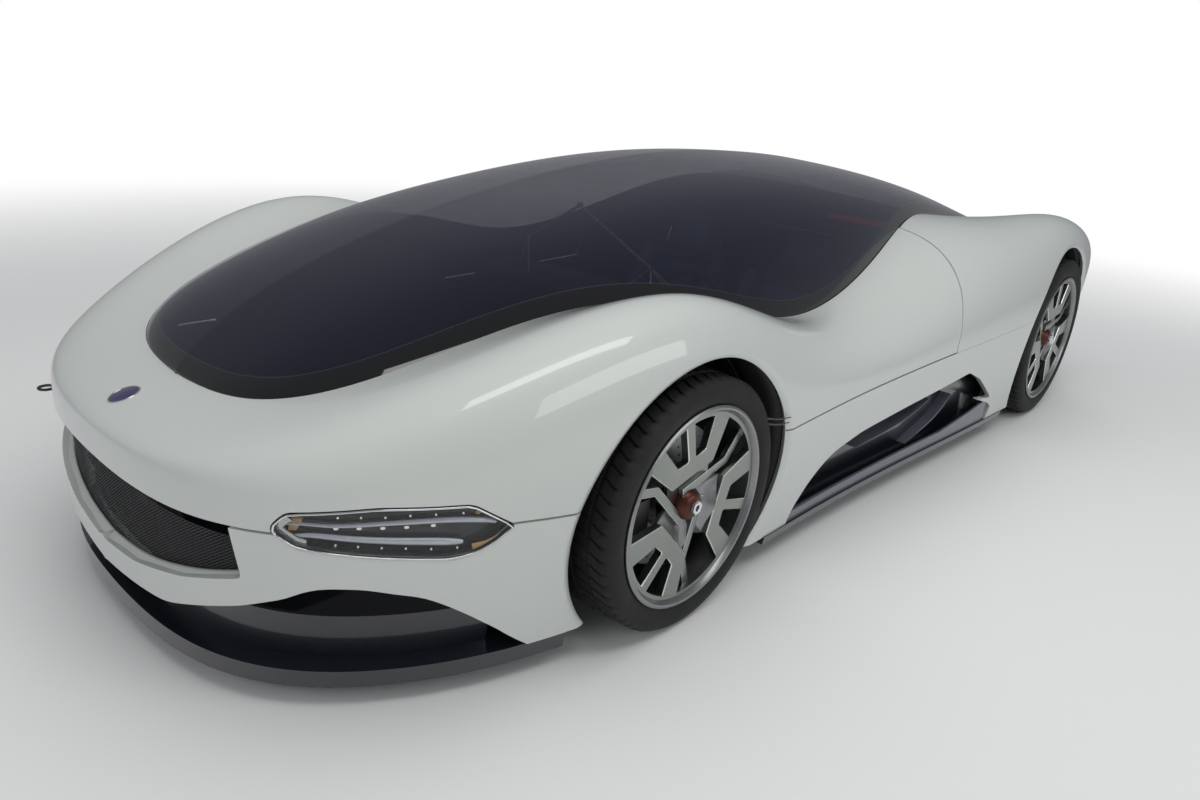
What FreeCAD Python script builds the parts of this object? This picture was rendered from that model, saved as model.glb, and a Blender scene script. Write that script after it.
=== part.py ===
import FreeCAD, Part
import math
import os

# Mid-engined supercar, millimetres, +Z up.
# The nose points along -Y and the car's left side is +X.
# The origin is on the ground, below the middle of the car.

# Driving dimensions
halfLength = 2330
groundGap = 75
floorThick = 25
skinThick = 22
glassThick = 6
panelGap = 6
seatGap = 0.3

frontAxleY = -1283
rearAxleY = 1367
frontTrack = 1610
rearTrack = 1670
frontTyreR = 338
rearTyreR = 367
frontTyreW = 265
rearTyreW = 335
frontRimR = 268
rearRimR = 287
frontArchR = 384
rearArchR = 420
linerGap = 9
linerThick = 6
linerInset = 60
frontWellX = 500
rearWellX = 640

kingpinX = 780
steerLimit = 28
hingeY = -2262
hingeZ = 385
hingeX = 200
pinR = 8
pinFit = 0.4

V = FreeCAD.Vector
xAxis = V(1, 0, 0)
yAxis = V(0, 1, 0)
zAxis = V(0, 0, 1)
sillZ = groundGap + floorThick

# Control net of the left half of the body, one row for each station along Y.
# Columns: y, seamX, seamZ, flankX, flankZ, shoulderX, shoulderZ, crownX, crownZ,
# innerX, innerZ, deckZ, centreZ.
bodyNet = [
    (-2330, 0, 420, 0, 470, 0, 500, 0, 505, 0, 508, 510, 510),
    (-2330, 250, 420, 250, 475, 225, 510, 180, 516, 130, 520, 522, 522),
    (-2280, 500, 420, 500, 490, 465, 537, 390, 546, 270, 550, 551, 552),
    (-2120, 695, 425, 700, 510, 660, 595, 565, 617, 400, 600, 589, 589),
    (-1872, 840, 430, 850, 542, 812, 695, 700, 740, 515, 672, 640, 635),
    (-1578, 917, 438, 932, 590, 902, 792, 782, 865, 580, 755, 700, 690),
    (-1283, 955, 446, 965, 610, 935, 835, 800, 905, 620, 775, 740, 730),
    (-938, 955, 455, 950, 590, 900, 730, 790, 795, 640, 710, 740, 740),
    (-518, 950, 468, 930, 560, 850, 610, 760, 632, 660, 622, 700, 720),
    (-8, 970, 485, 950, 580, 860, 655, 760, 712, 660, 760, 850, 860),
    (492, 1000, 503, 985, 650, 900, 800, 760, 890, 580, 935, 930, 930),
    (942, 1020, 518, 1015, 690, 950, 840, 800, 900, 600, 880, 870, 870),
    (1367, 1025, 530, 1025, 730, 970, 900, 820, 945, 620, 860, 810, 800),
    (1792, 985, 540, 985, 720, 930, 850, 780, 890, 600, 820, 770, 760),
    (2142, 905, 550, 905, 690, 850, 780, 720, 810, 560, 780, 745, 735),
    (2330, 845, 555, 845, 670, 790, 745, 680, 770, 530, 750, 730, 720),
]
lowerZ = 250
sillTuck = 45
lowerTuck = 20
deckShare = 0.46

# Control net of the left half of the glass bubble.
# Columns: y, footX, lowX, lowZ, midX, midZ, highX, highZ, centreZ.
bubbleNet = [
    (-2130, 0, 0, 570, 0, 580, 0, 585, 590),
    (-2130, 230, 230, 572, 180, 590, 95, 597, 600),
    (-2070, 415, 415, 600, 340, 645, 175, 660, 665),
    (-1880, 570, 565, 660, 450, 735, 240, 775, 785),
    (-1500, 660, 650, 740, 510, 860, 280, 910, 920),
    (-1008, 710, 695, 780, 560, 940, 310, 1010, 1028),
    (-458, 715, 700, 800, 580, 1000, 320, 1082, 1100),
    (42, 690, 675, 850, 560, 1015, 310, 1088, 1102),
    (542, 620, 600, 900, 500, 1005, 275, 1058, 1072),
    (1042, 520, 505, 880, 430, 950, 235, 988, 998),
    (1542, 430, 420, 820, 355, 868, 195, 895, 903),
    (2042, 345, 335, 755, 280, 780, 150, 797, 802),
    (2280, 300, 290, 725, 245, 740, 130, 748, 752),
]
bubbleFootZ = 480

# Seam between the lower panels and the upper body, and the lid's rear edge: y, z.
seamLine = [(-2400, 426), (-2250, 438), (-2100, 446), (-1800, 442), (-1660, 432),
            (-908, 455), (42, 487), (1042, 520), (2400, 556)]
lidEdge = [(192, 520), (225, 610), (285, 700), (335, 790), (390, 900), (390, 1300)]

# Outlines in the skin. The headlamp's is along the skin and up: along, z.
lampOutline = [(-223, 450), (-185, 489), (-11, 506), (165, 501), (249, 440),
               (138, 379), (-49, 400), (-166, 415)]
lampCentre = (665, -1985)
lampSlope = 47.5
lampDepth = 120
grilleOutline = [(500, 480), (519, 325), (364, 280), (180, 240), (0, 222)]
chinOutline = [(827, 60), (827, 100), (811, 178), (795, 228), (777, 266), (758, 293), (700, 322),
               (640, 325), (586, 291), (506, 257), (300, 190), (0, 165)]
sillOutline = [(-760, 60), (-760, 141), (-697, 232), (-599, 297), (-419, 328), (-152, 346),
               (148, 366), (377, 386), (511, 334), (700, 220), (760, 60)]
meshDepth = 30
meshThick = 6

parts = {}


def box(x0, x1, y0, y1, z0, z1):
    return Part.makeBox(x1 - x0, y1 - y0, z1 - z0, V(x0, y0, z0))


def bar(r, a, b):
    a = V(*a)
    b = V(*b)
    return Part.makeCylinder(r, (b - a).Length, a, b - a)


def prism(points, sweep):
    """A flat outline of corner points, swept along a vector."""
    ring = [V(*p) for p in points]
    return Part.Face(Part.makePolygon(ring + [ring[0]])).extrude(V(*sweep))


def sideCut(points, x0, x1):
    return prism([(x0, y, z) for y, z in points], (x1 - x0, 0, 0))


def mirrorX(shape):
    return shape.mirror(V(0, 0, 0), xAxis)


def both(shape):
    return Part.makeCompound([shape, mirrorX(shape)])


def fuse(shapes):
    return shapes[0].multiFuse(shapes[1:]).removeSplitter()


def ringX(x0, x1, rIn, rOut, y, z):
    """A plain ring about a line along X."""
    outer = Part.makeCylinder(rOut, x1 - x0, V(x0, y, z), xAxis)
    if rIn <= 0:
        return outer
    return outer.cut(Part.makeCylinder(rIn, x1 - x0 + 2, V(x0 - 1, y, z), xAxis))


def beadRing(beadR, ringR, centre, axis):
    """A round ring about an axis square to X, with an eight-sided section."""
    axis = V(axis).normalize()
    section = []
    for i in range(9):
        a = math.radians(45 * i)
        section.append(centre + xAxis * (ringR + beadR * math.cos(a)) + axis * (beadR * math.sin(a)))
    return Part.Face(Part.makePolygon(section)).revolve(centre, axis, 360)


def turnX(profile, y, z):
    """A closed profile of (x, radius) points turned about the line along X through y, z."""
    ring = [V(x, y, z + r) for x, r in profile]
    face = Part.Face(Part.makePolygon(ring + [ring[0]]))
    return face.revolve(V(0, y, z), xAxis, 360)


def clampedKnots(count):
    spans = count - 3
    knots = [i / spans for i in range(spans + 1)]
    mults = [4] + [1] * (spans - 1) + [4]
    return knots, mults


def bodyPoles(inset):
    rows = []
    for (y, seamX, seamZ, flankX, flankZ, shoulderX, shoulderZ, crownX, crownZ,
            innerX, innerZ, deckZ, centreZ) in bodyNet:
        narrow = min(1, seamX / 500)
        row = [(seamX - sillTuck * narrow, sillZ), (seamX - lowerTuck * narrow, lowerZ),
               (seamX, seamZ), (flankX, flankZ), (shoulderX, shoulderZ), (crownX, crownZ),
               (innerX, innerZ), (innerX * deckShare, deckZ), (0, centreZ)]
        rows.append([V(x * (1 - inset / 1000), y * (1 - inset / halfLength), z - inset) for x, z in row])
    return rows


def bubblePoles(inset):
    rows = []
    for y, footX, lowX, lowZ, midX, midZ, highX, highZ, centreZ in bubbleNet:
        row = [(footX, bubbleFootZ + inset), (lowX, lowZ), (midX, midZ), (highX, highZ), (0, centreZ)]
        rows.append([V(x * (1 - inset / 700), y * (1 - inset / 2200), z - inset) for x, z in row])
    return rows


def hullSolid(rows):
    """Closes the half skin with flat faces, then joins it to its mirror image."""
    skin = Part.BSplineSurface()
    uKnots, uMults = clampedKnots(len(rows))
    vKnots, vMults = clampedKnots(len(rows[0]))
    skin.buildFromPolesMultsKnots(rows, uMults, vMults, uKnots, vKnots, False, False, 3, 3)
    nose = skin.uIso(0).toShape()
    tail = skin.uIso(1).toShape()
    foot = skin.vIso(0).toShape()
    spine = skin.vIso(1).toShape()
    noseLow = V(0, rows[0][0].y, rows[0][0].z)
    tailLow = V(0, rows[-1][0].y, rows[-1][0].z)
    tailTop = rows[-1][-1]
    keel = Part.makeLine(noseLow, tailLow)
    post = Part.makeLine(tailLow, tailTop)
    heel = Part.makeLine(tailLow, rows[-1][0])
    loops = [[nose, spine, post, keel], [tail, post, heel], [foot, heel, keel]]
    faces = [skin.toShape()]
    for loop in loops:
        faces.append(Part.Face(Part.Wire(Part.__sortEdges__(loop))))
    shell = Part.Shell(faces)
    shell.sewShape()
    half = Part.Solid(shell)
    if half.Volume < 0:
        half.reverse()
    return half.fuse(mirrorX(half)).removeSplitter()


def seamAt(y, lift=0):
    for (y0, z0), (y1, z1) in zip(seamLine, seamLine[1:]):
        if y <= y1:
            return z0 + (z1 - z0) * (y - y0) / (y1 - y0) + lift


def mirrored(points):
    return points + [(-a, b) for a, b in reversed(points) if a != 0]


def grown(points, margin):
    """Spreads an outline about its middle, so that its widest and highest points move by the margin."""
    lowA, highA = min(a for a, b in points), max(a for a, b in points)
    lowB, highB = min(b for a, b in points), max(b for a, b in points)
    midA, midB = (lowA + highA) / 2, (lowB + highB) / 2
    growA = 1 + 2 * margin / (highA - lowA)
    growB = 1 + 2 * margin / (highB - lowB)
    return [(midA + (a - midA) * growA, midB + (b - midB) * growB) for a, b in points]


# The whole skin, and the zones that part its panels
outer = hullSolid(bodyPoles(0))
inner = hullSolid(bodyPoles(skinThick))
skin = outer.cut(inner)
for side in (1, -1):
    for y, r, z, wellX in ((frontAxleY, frontArchR, frontTyreR, frontWellX),
                           (rearAxleY, rearArchR, rearTyreR, rearWellX)):
        reach = 1200 - wellX
        start = wellX if side > 0 else -1200
        skin = skin.cut(Part.makeCylinder(r, reach, V(start, y, z), xAxis))

wide = 1200
lowZone = sideCut([(-2400, 0)] + seamLine + [(2400, 0)], -wide, wide)
lidFoot = [(y, z + panelGap) for y, z in seamLine if y < lidEdge[0][0]]
lidZone = sideCut([(-2400, 1300)] + lidFoot + [(lidEdge[0][0], seamAt(lidEdge[0][0], panelGap))] + lidEdge,
                  -wide, wide)
tailEdge = [(y + panelGap, z) for y, z in lidEdge]
tailFoot = [(y, z) for y, z in reversed(seamLine) if y > tailEdge[0][0]]
tailZone = sideCut(tailEdge + [(2400, 1300)] + tailFoot + [(tailEdge[0][0], seamAt(tailEdge[0][0]))],
                   -wide, wide)

# Glass bubble, and the opening that it sits in
bubble = hullSolid(bubblePoles(0))
bubbleIn = hullSolid(bubblePoles(glassThick))
opening = hullSolid(bubblePoles(-panelGap))
parts["canopy_glass"] = bubble.cut(bubbleIn).cut(inner)

# Headlamp prism in the skin
slope = math.radians(lampSlope)


def lampPrism(margin, back, front):
    tx, ty = math.cos(slope), math.sin(slope)
    nx, ny = ty, -tx
    ring = [(lampCentre[0] + a * tx - back * nx, lampCentre[1] + a * ty - back * ny, z)
            for a, z in grown(lampOutline, margin)]
    return prism(ring, ((back + front) * nx, (back + front) * ny, 0))


lampGap = 1
lampHole = lampPrism(lampGap, 200, 200)
lidLampHole = lampPrism(panelGap, 200, 200)
grilleHole = prism([(x, -2400, z) for x, z in mirrored(grilleOutline)], (0, 300, 0))
chinHole = prism([(x, -2400, z) for x, z in mirrored(chinOutline)], (0, 740, 0))
sillHole = sideCut(sillOutline, 600, wide)

lidSkin = skin.common(lidZone).cut(opening).cut(both(lidLampHole))
parts["lid_shell"] = lidSkin
tailSkin = skin.common(tailZone).cut(opening)
lowSkin = skin.common(lowZone)
noseZone = box(-wide, wide, -2400, frontAxleY, 0, 600)
sideZone = box(0, wide, frontAxleY, rearAxleY, 0, 600)
endZone = box(-wide, wide, rearAxleY, 2400, 0, 600)
parts["front_bumper"] = lowSkin.common(noseZone).cut(grilleHole).cut(chinHole).cut(both(lampHole))
parts["side_panel_left"] = lowSkin.common(sideZone).cut(sillHole)
parts["side_panel_right"] = mirrorX(parts["side_panel_left"])
parts["rear_bumper"] = lowSkin.common(endZone)


# Carbon floor with the cabin tub and the bulkheads
floorY = -1678
tubX = 590
tubWall = 25
tubFrontY = -900
tubRearY = 330
tubTop = 430
bulkheadX = 480
bulkheadTop = 800
footprint = outer.common(box(-wide, wide, floorY, 2400, sillZ, sillZ + floorThick))
floor = footprint.translated(V(0, 0, -floorThick))
for y, r, wellX in ((frontAxleY, frontArchR, frontWellX), (rearAxleY, rearArchR, rearWellX)):
    reach = r + linerGap + linerThick
    for x0, x1 in ((wellX, wide), (-wide, -wellX)):
        floor = floor.cut(box(x0, x1, y - reach, y + reach, 0, sillZ))
tubRing = box(-tubX, tubX, tubFrontY - tubWall, tubRearY, sillZ, tubTop).cut(
    box(-tubX + tubWall, tubX - tubWall, tubFrontY, tubRearY, sillZ, tubTop))
for side in (1, -1):
    x0, x1 = sorted((side * frontWellX, side * wide))
    tubRing = tubRing.cut(box(x0, x1, tubFrontY - 200, frontAxleY + frontArchR + 20, 0, tubTop))
bulkhead = box(-bulkheadX, bulkheadX, tubRearY, tubRearY + tubWall, sillZ, bulkheadTop)
sideWall = box(-tubX, tubX, tubRearY, tubRearY + tubWall, sillZ, tubTop)
parts["floor_tub"] = fuse([floor, tubRing, bulkhead, sideWall])

# Splitter and the dark intake panel behind the chin
splitterInset = 12
splitterLow = 55
splitterBackY = -1640
intakeInset = 60
intakeThick = 8
splitterThick = sillZ - splitterLow
splitterZone = box(-wide, wide, -2400, floorY, sillZ, sillZ + splitterThick)
for x0, x1 in ((frontWellX, wide), (-wide, -frontWellX)):
    splitterZone = splitterZone.fuse(box(x0, x1, floorY, splitterBackY, sillZ, sillZ + splitterThick))
noseSlab = hullSolid(bodyPoles(splitterInset)).common(splitterZone).removeSplitter()
parts["front_splitter"] = noseSlab.translated(V(0, 0, -splitterThick))
intakeOut = hullSolid(bodyPoles(intakeInset))
intakeIn = hullSolid(bodyPoles(intakeInset + intakeThick))
parts["front_intake"] = intakeOut.cut(intakeIn).common(box(-800, 800, -2400, -1800, sillZ, 210))

# Dark sill panels inside the side cut-outs, with two blades each
sillInset = 75
sillOuter = hullSolid(bodyPoles(sillInset))
sillInner = hullSolid(bodyPoles(sillInset + 10))
bladeInner = hullSolid(bodyPoles(sillInset + 2))
bladeOuter = hullSolid(bodyPoles(skinThick + 4))
sillSpan = box(0, wide, -800, 780, sillZ, 440)
sill = sillOuter.cut(sillInner).common(sillSpan)
blades = []
for y0, z0, y1, z1 in ((-680, 110, 560, 190), (-560, 190, 520, 280)):
    strip = sideCut([(y0, z0), (y1, z1), (y1, z1 + 8), (y0, z0 + 8)], 600, wide)
    blades.append(bladeOuter.cut(bladeInner).common(strip))
parts["side_sills"] = both(fuse([sill] + blades))

# Wheel-well liners: an arc over the tyre and an inner wall
liners = []
for y, r, z, wellX, bodyX in ((frontAxleY, frontArchR, frontTyreR, frontWellX, 800),
                              (rearAxleY, rearArchR, rearTyreR, rearWellX, 900)):
    rIn = r + linerGap
    arc = ringX(wellX, bodyX, rIn, rIn + linerThick, y, z)
    wall = ringX(wellX, wellX + linerThick, 0, rIn + linerThick, y, z)
    liner = fuse([arc, wall]).common(box(0, wide, y - 600, y + 600, sillZ, 1200))
    liners.append(liner.cut(ringX(wellX - 1, wellX + linerThick + 1, 0, 30, y, z)))
parts["wheel_liners"] = Part.makeCompound([m for s in liners for m in (s, mirrorX(s))])

# Seal flange under the skin, which carries the glass
flangeWide = 30
flangeThick = 12
flangeTop = inner.translated(V(0, 0, -seatGap))
flangeLow = inner.translated(V(0, 0, -seatGap - flangeThick))
flangeIn = hullSolid(bubblePoles(flangeWide))
flangeOut = hullSolid(bubblePoles(-flangeWide))
band = flangeTop.cut(flangeLow)
frontFlange = band.common(flangeOut.cut(flangeIn)).common(lidZone)
rearFlange = band.common(bubble.cut(flangeIn)).cut(lidZone)
parts["canopy_flange"] = fuse([frontFlange, rearFlange])

# Grille mesh behind the nose opening
meshOuter = hullSolid(bodyPoles(meshDepth))
meshInner = hullSolid(bodyPoles(meshDepth + meshThick))
meshBand = meshOuter.cut(meshInner)
bars = []
for z in range(230, 400, 28):
    bars.append(box(-540, 540, -2400, -2150, z, z + 6))
for x in range(-500, 501, 50):
    bars.append(box(x - 3, x + 3, -2400, -2150, 215, 398))
meshRim = 14
meshTop = 398


def grilleZone(margin, top):
    ring = grown(mirrored(grilleOutline), margin)
    return prism([(x, -2400, z) for x, z in ring], (0, 300, 0)).common(box(-wide, wide, -2400, -2000, 0, top))


rimBand = hullSolid(bodyPoles(skinThick + seatGap)).cut(meshInner)
rim = rimBand.common(grilleZone(meshRim, meshTop).cut(grilleZone(2, meshTop + 5)))
lattice = meshBand.common(bars[0].multiFuse(bars[1:])).common(grilleZone(meshRim - 4, meshTop))
parts["grille_mesh"] = fuse([rim, lattice])

# Headlamps: a clear lens flush with the skin and a bowl behind it
lensThick = 4
lensSkin = outer.cut(hullSolid(bodyPoles(lensThick)))
lens = lensSkin.common(lampPrism(-2, 200, 200))
parts["headlamp_lenses"] = both(lens)
bowlOuter = lampPrism(lampGap - seatGap, lampDepth, 200).common(hullSolid(bodyPoles(lensThick + seatGap)))
bowlInner = lampPrism(-5, lampDepth - 5, 200)
parts["headlamp_bowls"] = both(bowlOuter.cut(bowlInner))

# Lid hinge: lugs on the lid, forks and pins on the floor
lugs = []
forks = []
lugOutline = [(hingeY - 14, hingeZ - 14), (hingeY + 14, hingeZ - 14), (hingeY + 70, hingeZ + 320),
              (hingeY + 30, hingeZ + 320), (hingeY - 14, hingeZ + 14)]
forkOutline = [(hingeY - 14, hingeZ + 14), (hingeY + 14, hingeZ + 14), (hingeY + 110, sillZ),
               (hingeY + 60, sillZ), (hingeY - 14, hingeZ - 60)]
for x in (hingeX, -hingeX):
    lug = sideCut(lugOutline, x - 8, x + 8).common(inner)
    lugs.append(lug.cut(bar(pinR + pinFit, (x - 20, hingeY, hingeZ), (x + 20, hingeY, hingeZ))))
    for side in (1, -1):
        xc = x + side * 16
        forks.append(sideCut(forkOutline, xc - 5, xc + 5))
    forks.append(bar(pinR, (x - 21, hingeY, hingeZ), (x + 21, hingeY, hingeZ)))
    forks.append(box(x - 21, x + 21, hingeY + 60, hingeY + 110, sillZ, sillZ + 20))
parts["lid_hinge_lugs"] = Part.makeCompound(lugs)
parts["hinge_forks"] = Part.makeCompound([fuse(forks[:4]), fuse(forks[4:])])

# Cabin
seatX = 285
seatWide = 460
seatProfile = [(-470, sillZ), (-470, 250), (-430, 270), (-90, 190), (-20, 230), (190, 780), (240, 800),
               (290, 780), (tubRearY - seatGap, 300), (tubRearY - seatGap, sillZ)]
seat = sideCut(seatProfile, seatX - seatWide / 2, seatX + seatWide / 2)
parts["seats"] = both(seat)
parts["centre_console"] = box(-50, 50, -620, 300, sillZ, 330)
dashProfile = [(-780, tubTop), (-780, 500), (-720, 560), (-600, 545), (-580, 480), (-620, tubTop)]
parts["dashboard"] = sideCut(dashProfile, -tubX + 10, tubX - 10)
wheelCentre = V(seatX, -470, 560)
columnDir = V(0, -1, -0.25)
rimRing = beadRing(14, 165, wheelCentre, columnDir)
spokeBar = bar(9, (seatX - 160, -470, 560), (seatX + 160, -470, 560))
hubBoss = Part.makeCylinder(45, 40, wheelCentre - columnDir * 10, columnDir)
column = Part.makeCylinder(20, 160, wheelCentre, columnDir)
parts["steering_wheel"] = fuse([rimRing, spokeBar, hubBoss, column]).cut(parts["dashboard"])
rods = [bar(5, (x, -700, 540), (x * 0.4, -640, 760)) for x in (-260, -90, 90, 260)]
rods.append(bar(5, (-110, -640, 758), (110, -640, 758)))
parts["display_truss"] = fuse(rods).cut(parts["dashboard"])

# Power unit, plain blocks
parts["engine_block"] = box(-230, 230, tubRearY + 110, 1000, sillZ, 560)
parts["transaxle"] = box(-160, 160, 1000, 1560, sillZ, 440)

# Wheels
wheelRows = [("front_left", 1, frontAxleY, frontTyreR, frontRimR, frontTyreW, frontTrack / 2),
             ("front_right", -1, frontAxleY, frontTyreR, frontRimR, frontTyreW, frontTrack / 2),
             ("rear_left", 1, rearAxleY, rearTyreR, rearRimR, rearTyreW, rearTrack / 2),
             ("rear_right", -1, rearAxleY, rearTyreR, rearRimR, rearTyreW, rearTrack / 2)]
discThick = 30
discR = 190
hatR = 85
spindleR = 30


def tyreSolid(y, z, rimR, width, cx):
    w = width / 2
    bead = rimR - 14 + seatGap
    profile = [(cx - w + 12, bead), (cx - w + 12, rimR), (cx - w, rimR + 18), (cx - w, z - 22),
               (cx - w + 24, z), (cx + w - 24, z), (cx + w, z - 22), (cx + w, rimR + 18),
               (cx + w - 12, rimR), (cx + w - 12, bead)]
    return turnX(profile, y, z)


def wheelSolid(y, z, rimR, width, cx):
    w = width / 2
    seat = rimR - 14
    barrel = turnX([(cx - w + 2, seat - 8), (cx - w + 2, rimR), (cx - w + 11, rimR), (cx - w + 11, seat),
                    (cx + w - 11, seat), (cx + w - 11, rimR), (cx + w - 1, rimR), (cx + w - 1, seat - 8)],
                   y, z)
    faceX = cx + w - 42
    spokes = [Part.makeCylinder(72, 34, V(faceX, y, z), xAxis)]
    for arm in range(3):
        for prong in (-36, 0, 36):
            a = math.radians(arm * 120 + 90 + prong)
            b = math.radians(arm * 120 + 90 + prong * 0.35)
            c, s = math.cos(a), math.sin(a)
            root = (60 * math.cos(b), 60 * math.sin(b))
            tip = ((seat - 4) * c, (seat - 4) * s)
            dy, dz = tip[0] - root[0], tip[1] - root[1]
            size = math.hypot(dy, dz)
            ny, nz = -dz / size, dy / size
            ring = [(root[0] + 24 * ny, root[1] + 24 * nz), (tip[0] + 14 * ny, tip[1] + 14 * nz),
                    (tip[0] - 14 * ny, tip[1] - 14 * nz), (root[0] - 24 * ny, root[1] - 24 * nz)]
            spokes.append(prism([(faceX, y + p, z + q) for p, q in ring], (26, 0, 0)))
    spokes.append(Part.makeCylinder(22, 18, V(faceX + 34, y, z), xAxis))
    return fuse([barrel] + spokes)


def discSolid(y, z, faceX, discX0):
    disc = ringX(discX0, discX0 + discThick, spindleR + 0.5, discR, y, z)
    hat = ringX(discX0 + discThick, faceX - seatGap, spindleR + 0.5, hatR, y, z)
    return fuse([disc, hat])


def uprightSolid(y, z, discX0, faceX):
    """An upright with its stub axle and the caliper that straddles the disc."""
    plate = box(discX0 - 95, discX0 - 55, y - 55, y + 55, z - 156, z + 156)
    stub = Part.makeCylinder(spindleR, faceX - 20 - discX0 + 60, V(discX0 - 60, y, z), xAxis)
    arm = box(discX0 - 95, discX0 - 55, y - 200, y - 55, z - 45, z + 45)
    bridge = box(discX0 - 55, discX0 + discThick + 38, y - 228, y - 120, z - 42, z + 42)
    slot = ringX(discX0 - 6, discX0 + discThick + 6, 0, discR + 6, y, z)
    return plate, stub, fuse([arm, bridge.cut(slot)])


wishbones = []
rearGear = []
for name, side, y, z, rimR, width, cx in wheelRows:
    w = width / 2
    faceX = cx + w - 42
    discX0 = faceX - 90
    shapes = {"tyre_": tyreSolid(y, z, rimR, width, cx), "wheel_": wheelSolid(y, z, rimR, width, cx),
              "brake_disc_": discSolid(y, z, faceX, discX0)}
    plate, stub, caliper = uprightSolid(y, z, discX0, faceX)
    front = name.startswith("front")
    ballX = kingpinX if front else discX0 - 75
    wallX = (frontWellX if front else rearWellX) + linerThick + seatGap
    reachX = ballX
    if front:
        ears = [box(discX0 - 60, ballX + 12, y - 16, y + 16, z + dz - 6, z + dz + 6) for dz in (-150, 150)]
        pins = [bar(8, (ballX, y, z + dz - 30), (ballX, y, z + dz + 30)) for dz in (-150, 150)]
        shapes["knuckle_"] = fuse([plate, stub, caliper] + ears + pins)
    arms = []
    for dz in (-150, 150):
        away = math.copysign(20, dz) if front else -math.copysign(5, dz)
        zc = z + dz + away
        for dy in (-115, 115):
            arms.append(bar(11, (wallX, y + dy, zc), (reachX, y, zc)))
        arms.append(Part.makeCylinder(17, 14, V(reachX, y, zc - 7), zAxis))
    if side < 0:
        shapes = {k: mirrorX(s) for k, s in shapes.items()}
    for k, s in shapes.items():
        parts[k + name] = s
    if side > 0 and front:
        for half in (arms[:3], arms[3:]):
            bone = fuse(half).common(box(wallX, wide, y - 400, y + 400, 0, 1000))
            wishbones.append(bone.cut(bar(8.4, (ballX, y, z - 200), (ballX, y, z + 200))))
    if side > 0 and not front:
        shaft = bar(16, (wallX, y, z), (discX0 - 90, y, z))
        gear = fuse([plate, stub, caliper, shaft] + arms).common(box(wallX, wide, y - 400, y + 400, 0, 1000))
        rearGear.append(gear)
parts["front_wishbones"] = Part.makeCompound([m for s in wishbones for m in (s, mirrorX(s))])
parts["rear_suspension"] = Part.makeCompound([m for s in rearGear for m in (s, mirrorX(s))])

# Tail: lamps, exhaust tips and diffuser
lampSlot = box(300, 700, 2250, 2400, 610, 640)
tipR = 45
tipX = 62
tipZ = 430
parts["rear_clamshell"] = tailSkin.cut(both(lampSlot))
tips = []
for x in (tipX, -tipX):
    hole = bar(tipR + 4, (x, 2200, tipZ), (x, 2400, tipZ))
    parts["rear_bumper"] = parts["rear_bumper"].cut(hole)
    tips.append(bar(tipR, (x, 2180, tipZ), (x, 2322, tipZ)).cut(bar(tipR - 4, (x, 2190, tipZ), (x, 2330, tipZ))))
diffuserX = 520
diffuserTop = 300
fins = [box(x - 5, x + 5, 1900, 2316, sillZ, 290) for x in (-450, -270, -90, 90, 270, 450)]
ramp = sideCut([(1900, sillZ), (2300, 270), (2300, 290), (1900, sillZ + 12)], -diffuserX + 10, diffuserX - 10)
parts["rear_diffuser"] = fuse([ramp] + fins)
hanger = box(-tipX, tipX, 2190, 2230, tipZ - 6, tipZ + 6).cut(bar(tipR - 1, (tipX, 2100, tipZ), (tipX, 2400, tipZ)))
hanger = hanger.cut(bar(tipR - 1, (-tipX, 2100, tipZ), (-tipX, 2400, tipZ)))
post = box(-8, 8, 2190, 2230, 250, tipZ).cut(parts["rear_diffuser"])
parts["exhaust_tips"] = fuse(tips + [hanger, post])
parts["tail_lamps"] = both(box(300 + seatGap, 700 - seatGap, 2270, 2322, 610 + seatGap, 640 - seatGap))
parts["rear_bumper"] = parts["rear_bumper"].cut(box(-diffuserX, diffuserX, 2200, 2400, 0, diffuserTop))

# Tow loop at the right of the nose, its shank through the bumper
towX = -540
towY = -2268
towZ = 414
shankR = 5
ring = beadRing(4, 18, V(towX, towY, towZ), zAxis)
shank = bar(shankR, (towX, towY + 18, towZ), (towX, towY + 90, towZ))
parts["tow_loop"] = fuse([ring, shank])
shankHole = bar(shankR + seatGap, (towX, towY + 10, towZ), (towX, towY + 120, towZ))
parts["front_bumper"] = parts["front_bumper"].cut(shankHole)

os.makedirs("parts", exist_ok=True)
for name, shape in parts.items():
    shape.exportStep("parts/" + name + ".step")
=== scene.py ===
import math

import bmesh
import bpy
import numpy as np
from mathutils import Matrix, Vector, kdtree
from mathutils.bvhtree import BVHTree


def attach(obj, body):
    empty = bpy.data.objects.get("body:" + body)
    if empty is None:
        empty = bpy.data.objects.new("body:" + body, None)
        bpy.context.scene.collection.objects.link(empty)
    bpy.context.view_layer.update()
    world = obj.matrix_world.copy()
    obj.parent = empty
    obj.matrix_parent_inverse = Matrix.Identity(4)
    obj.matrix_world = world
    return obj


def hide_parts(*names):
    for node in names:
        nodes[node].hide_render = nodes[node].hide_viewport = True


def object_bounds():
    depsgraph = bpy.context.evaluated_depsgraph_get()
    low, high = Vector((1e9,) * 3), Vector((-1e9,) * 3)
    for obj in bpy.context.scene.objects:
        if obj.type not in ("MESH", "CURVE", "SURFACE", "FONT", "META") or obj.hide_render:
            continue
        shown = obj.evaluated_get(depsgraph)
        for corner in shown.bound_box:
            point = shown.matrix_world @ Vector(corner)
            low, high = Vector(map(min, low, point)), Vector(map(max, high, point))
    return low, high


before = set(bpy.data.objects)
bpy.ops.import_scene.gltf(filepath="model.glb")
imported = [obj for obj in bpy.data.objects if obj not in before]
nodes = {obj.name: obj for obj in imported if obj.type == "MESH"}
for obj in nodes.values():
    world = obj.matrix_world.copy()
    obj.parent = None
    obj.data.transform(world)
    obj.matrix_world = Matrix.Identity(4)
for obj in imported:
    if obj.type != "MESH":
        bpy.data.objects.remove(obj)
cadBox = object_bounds()
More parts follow.
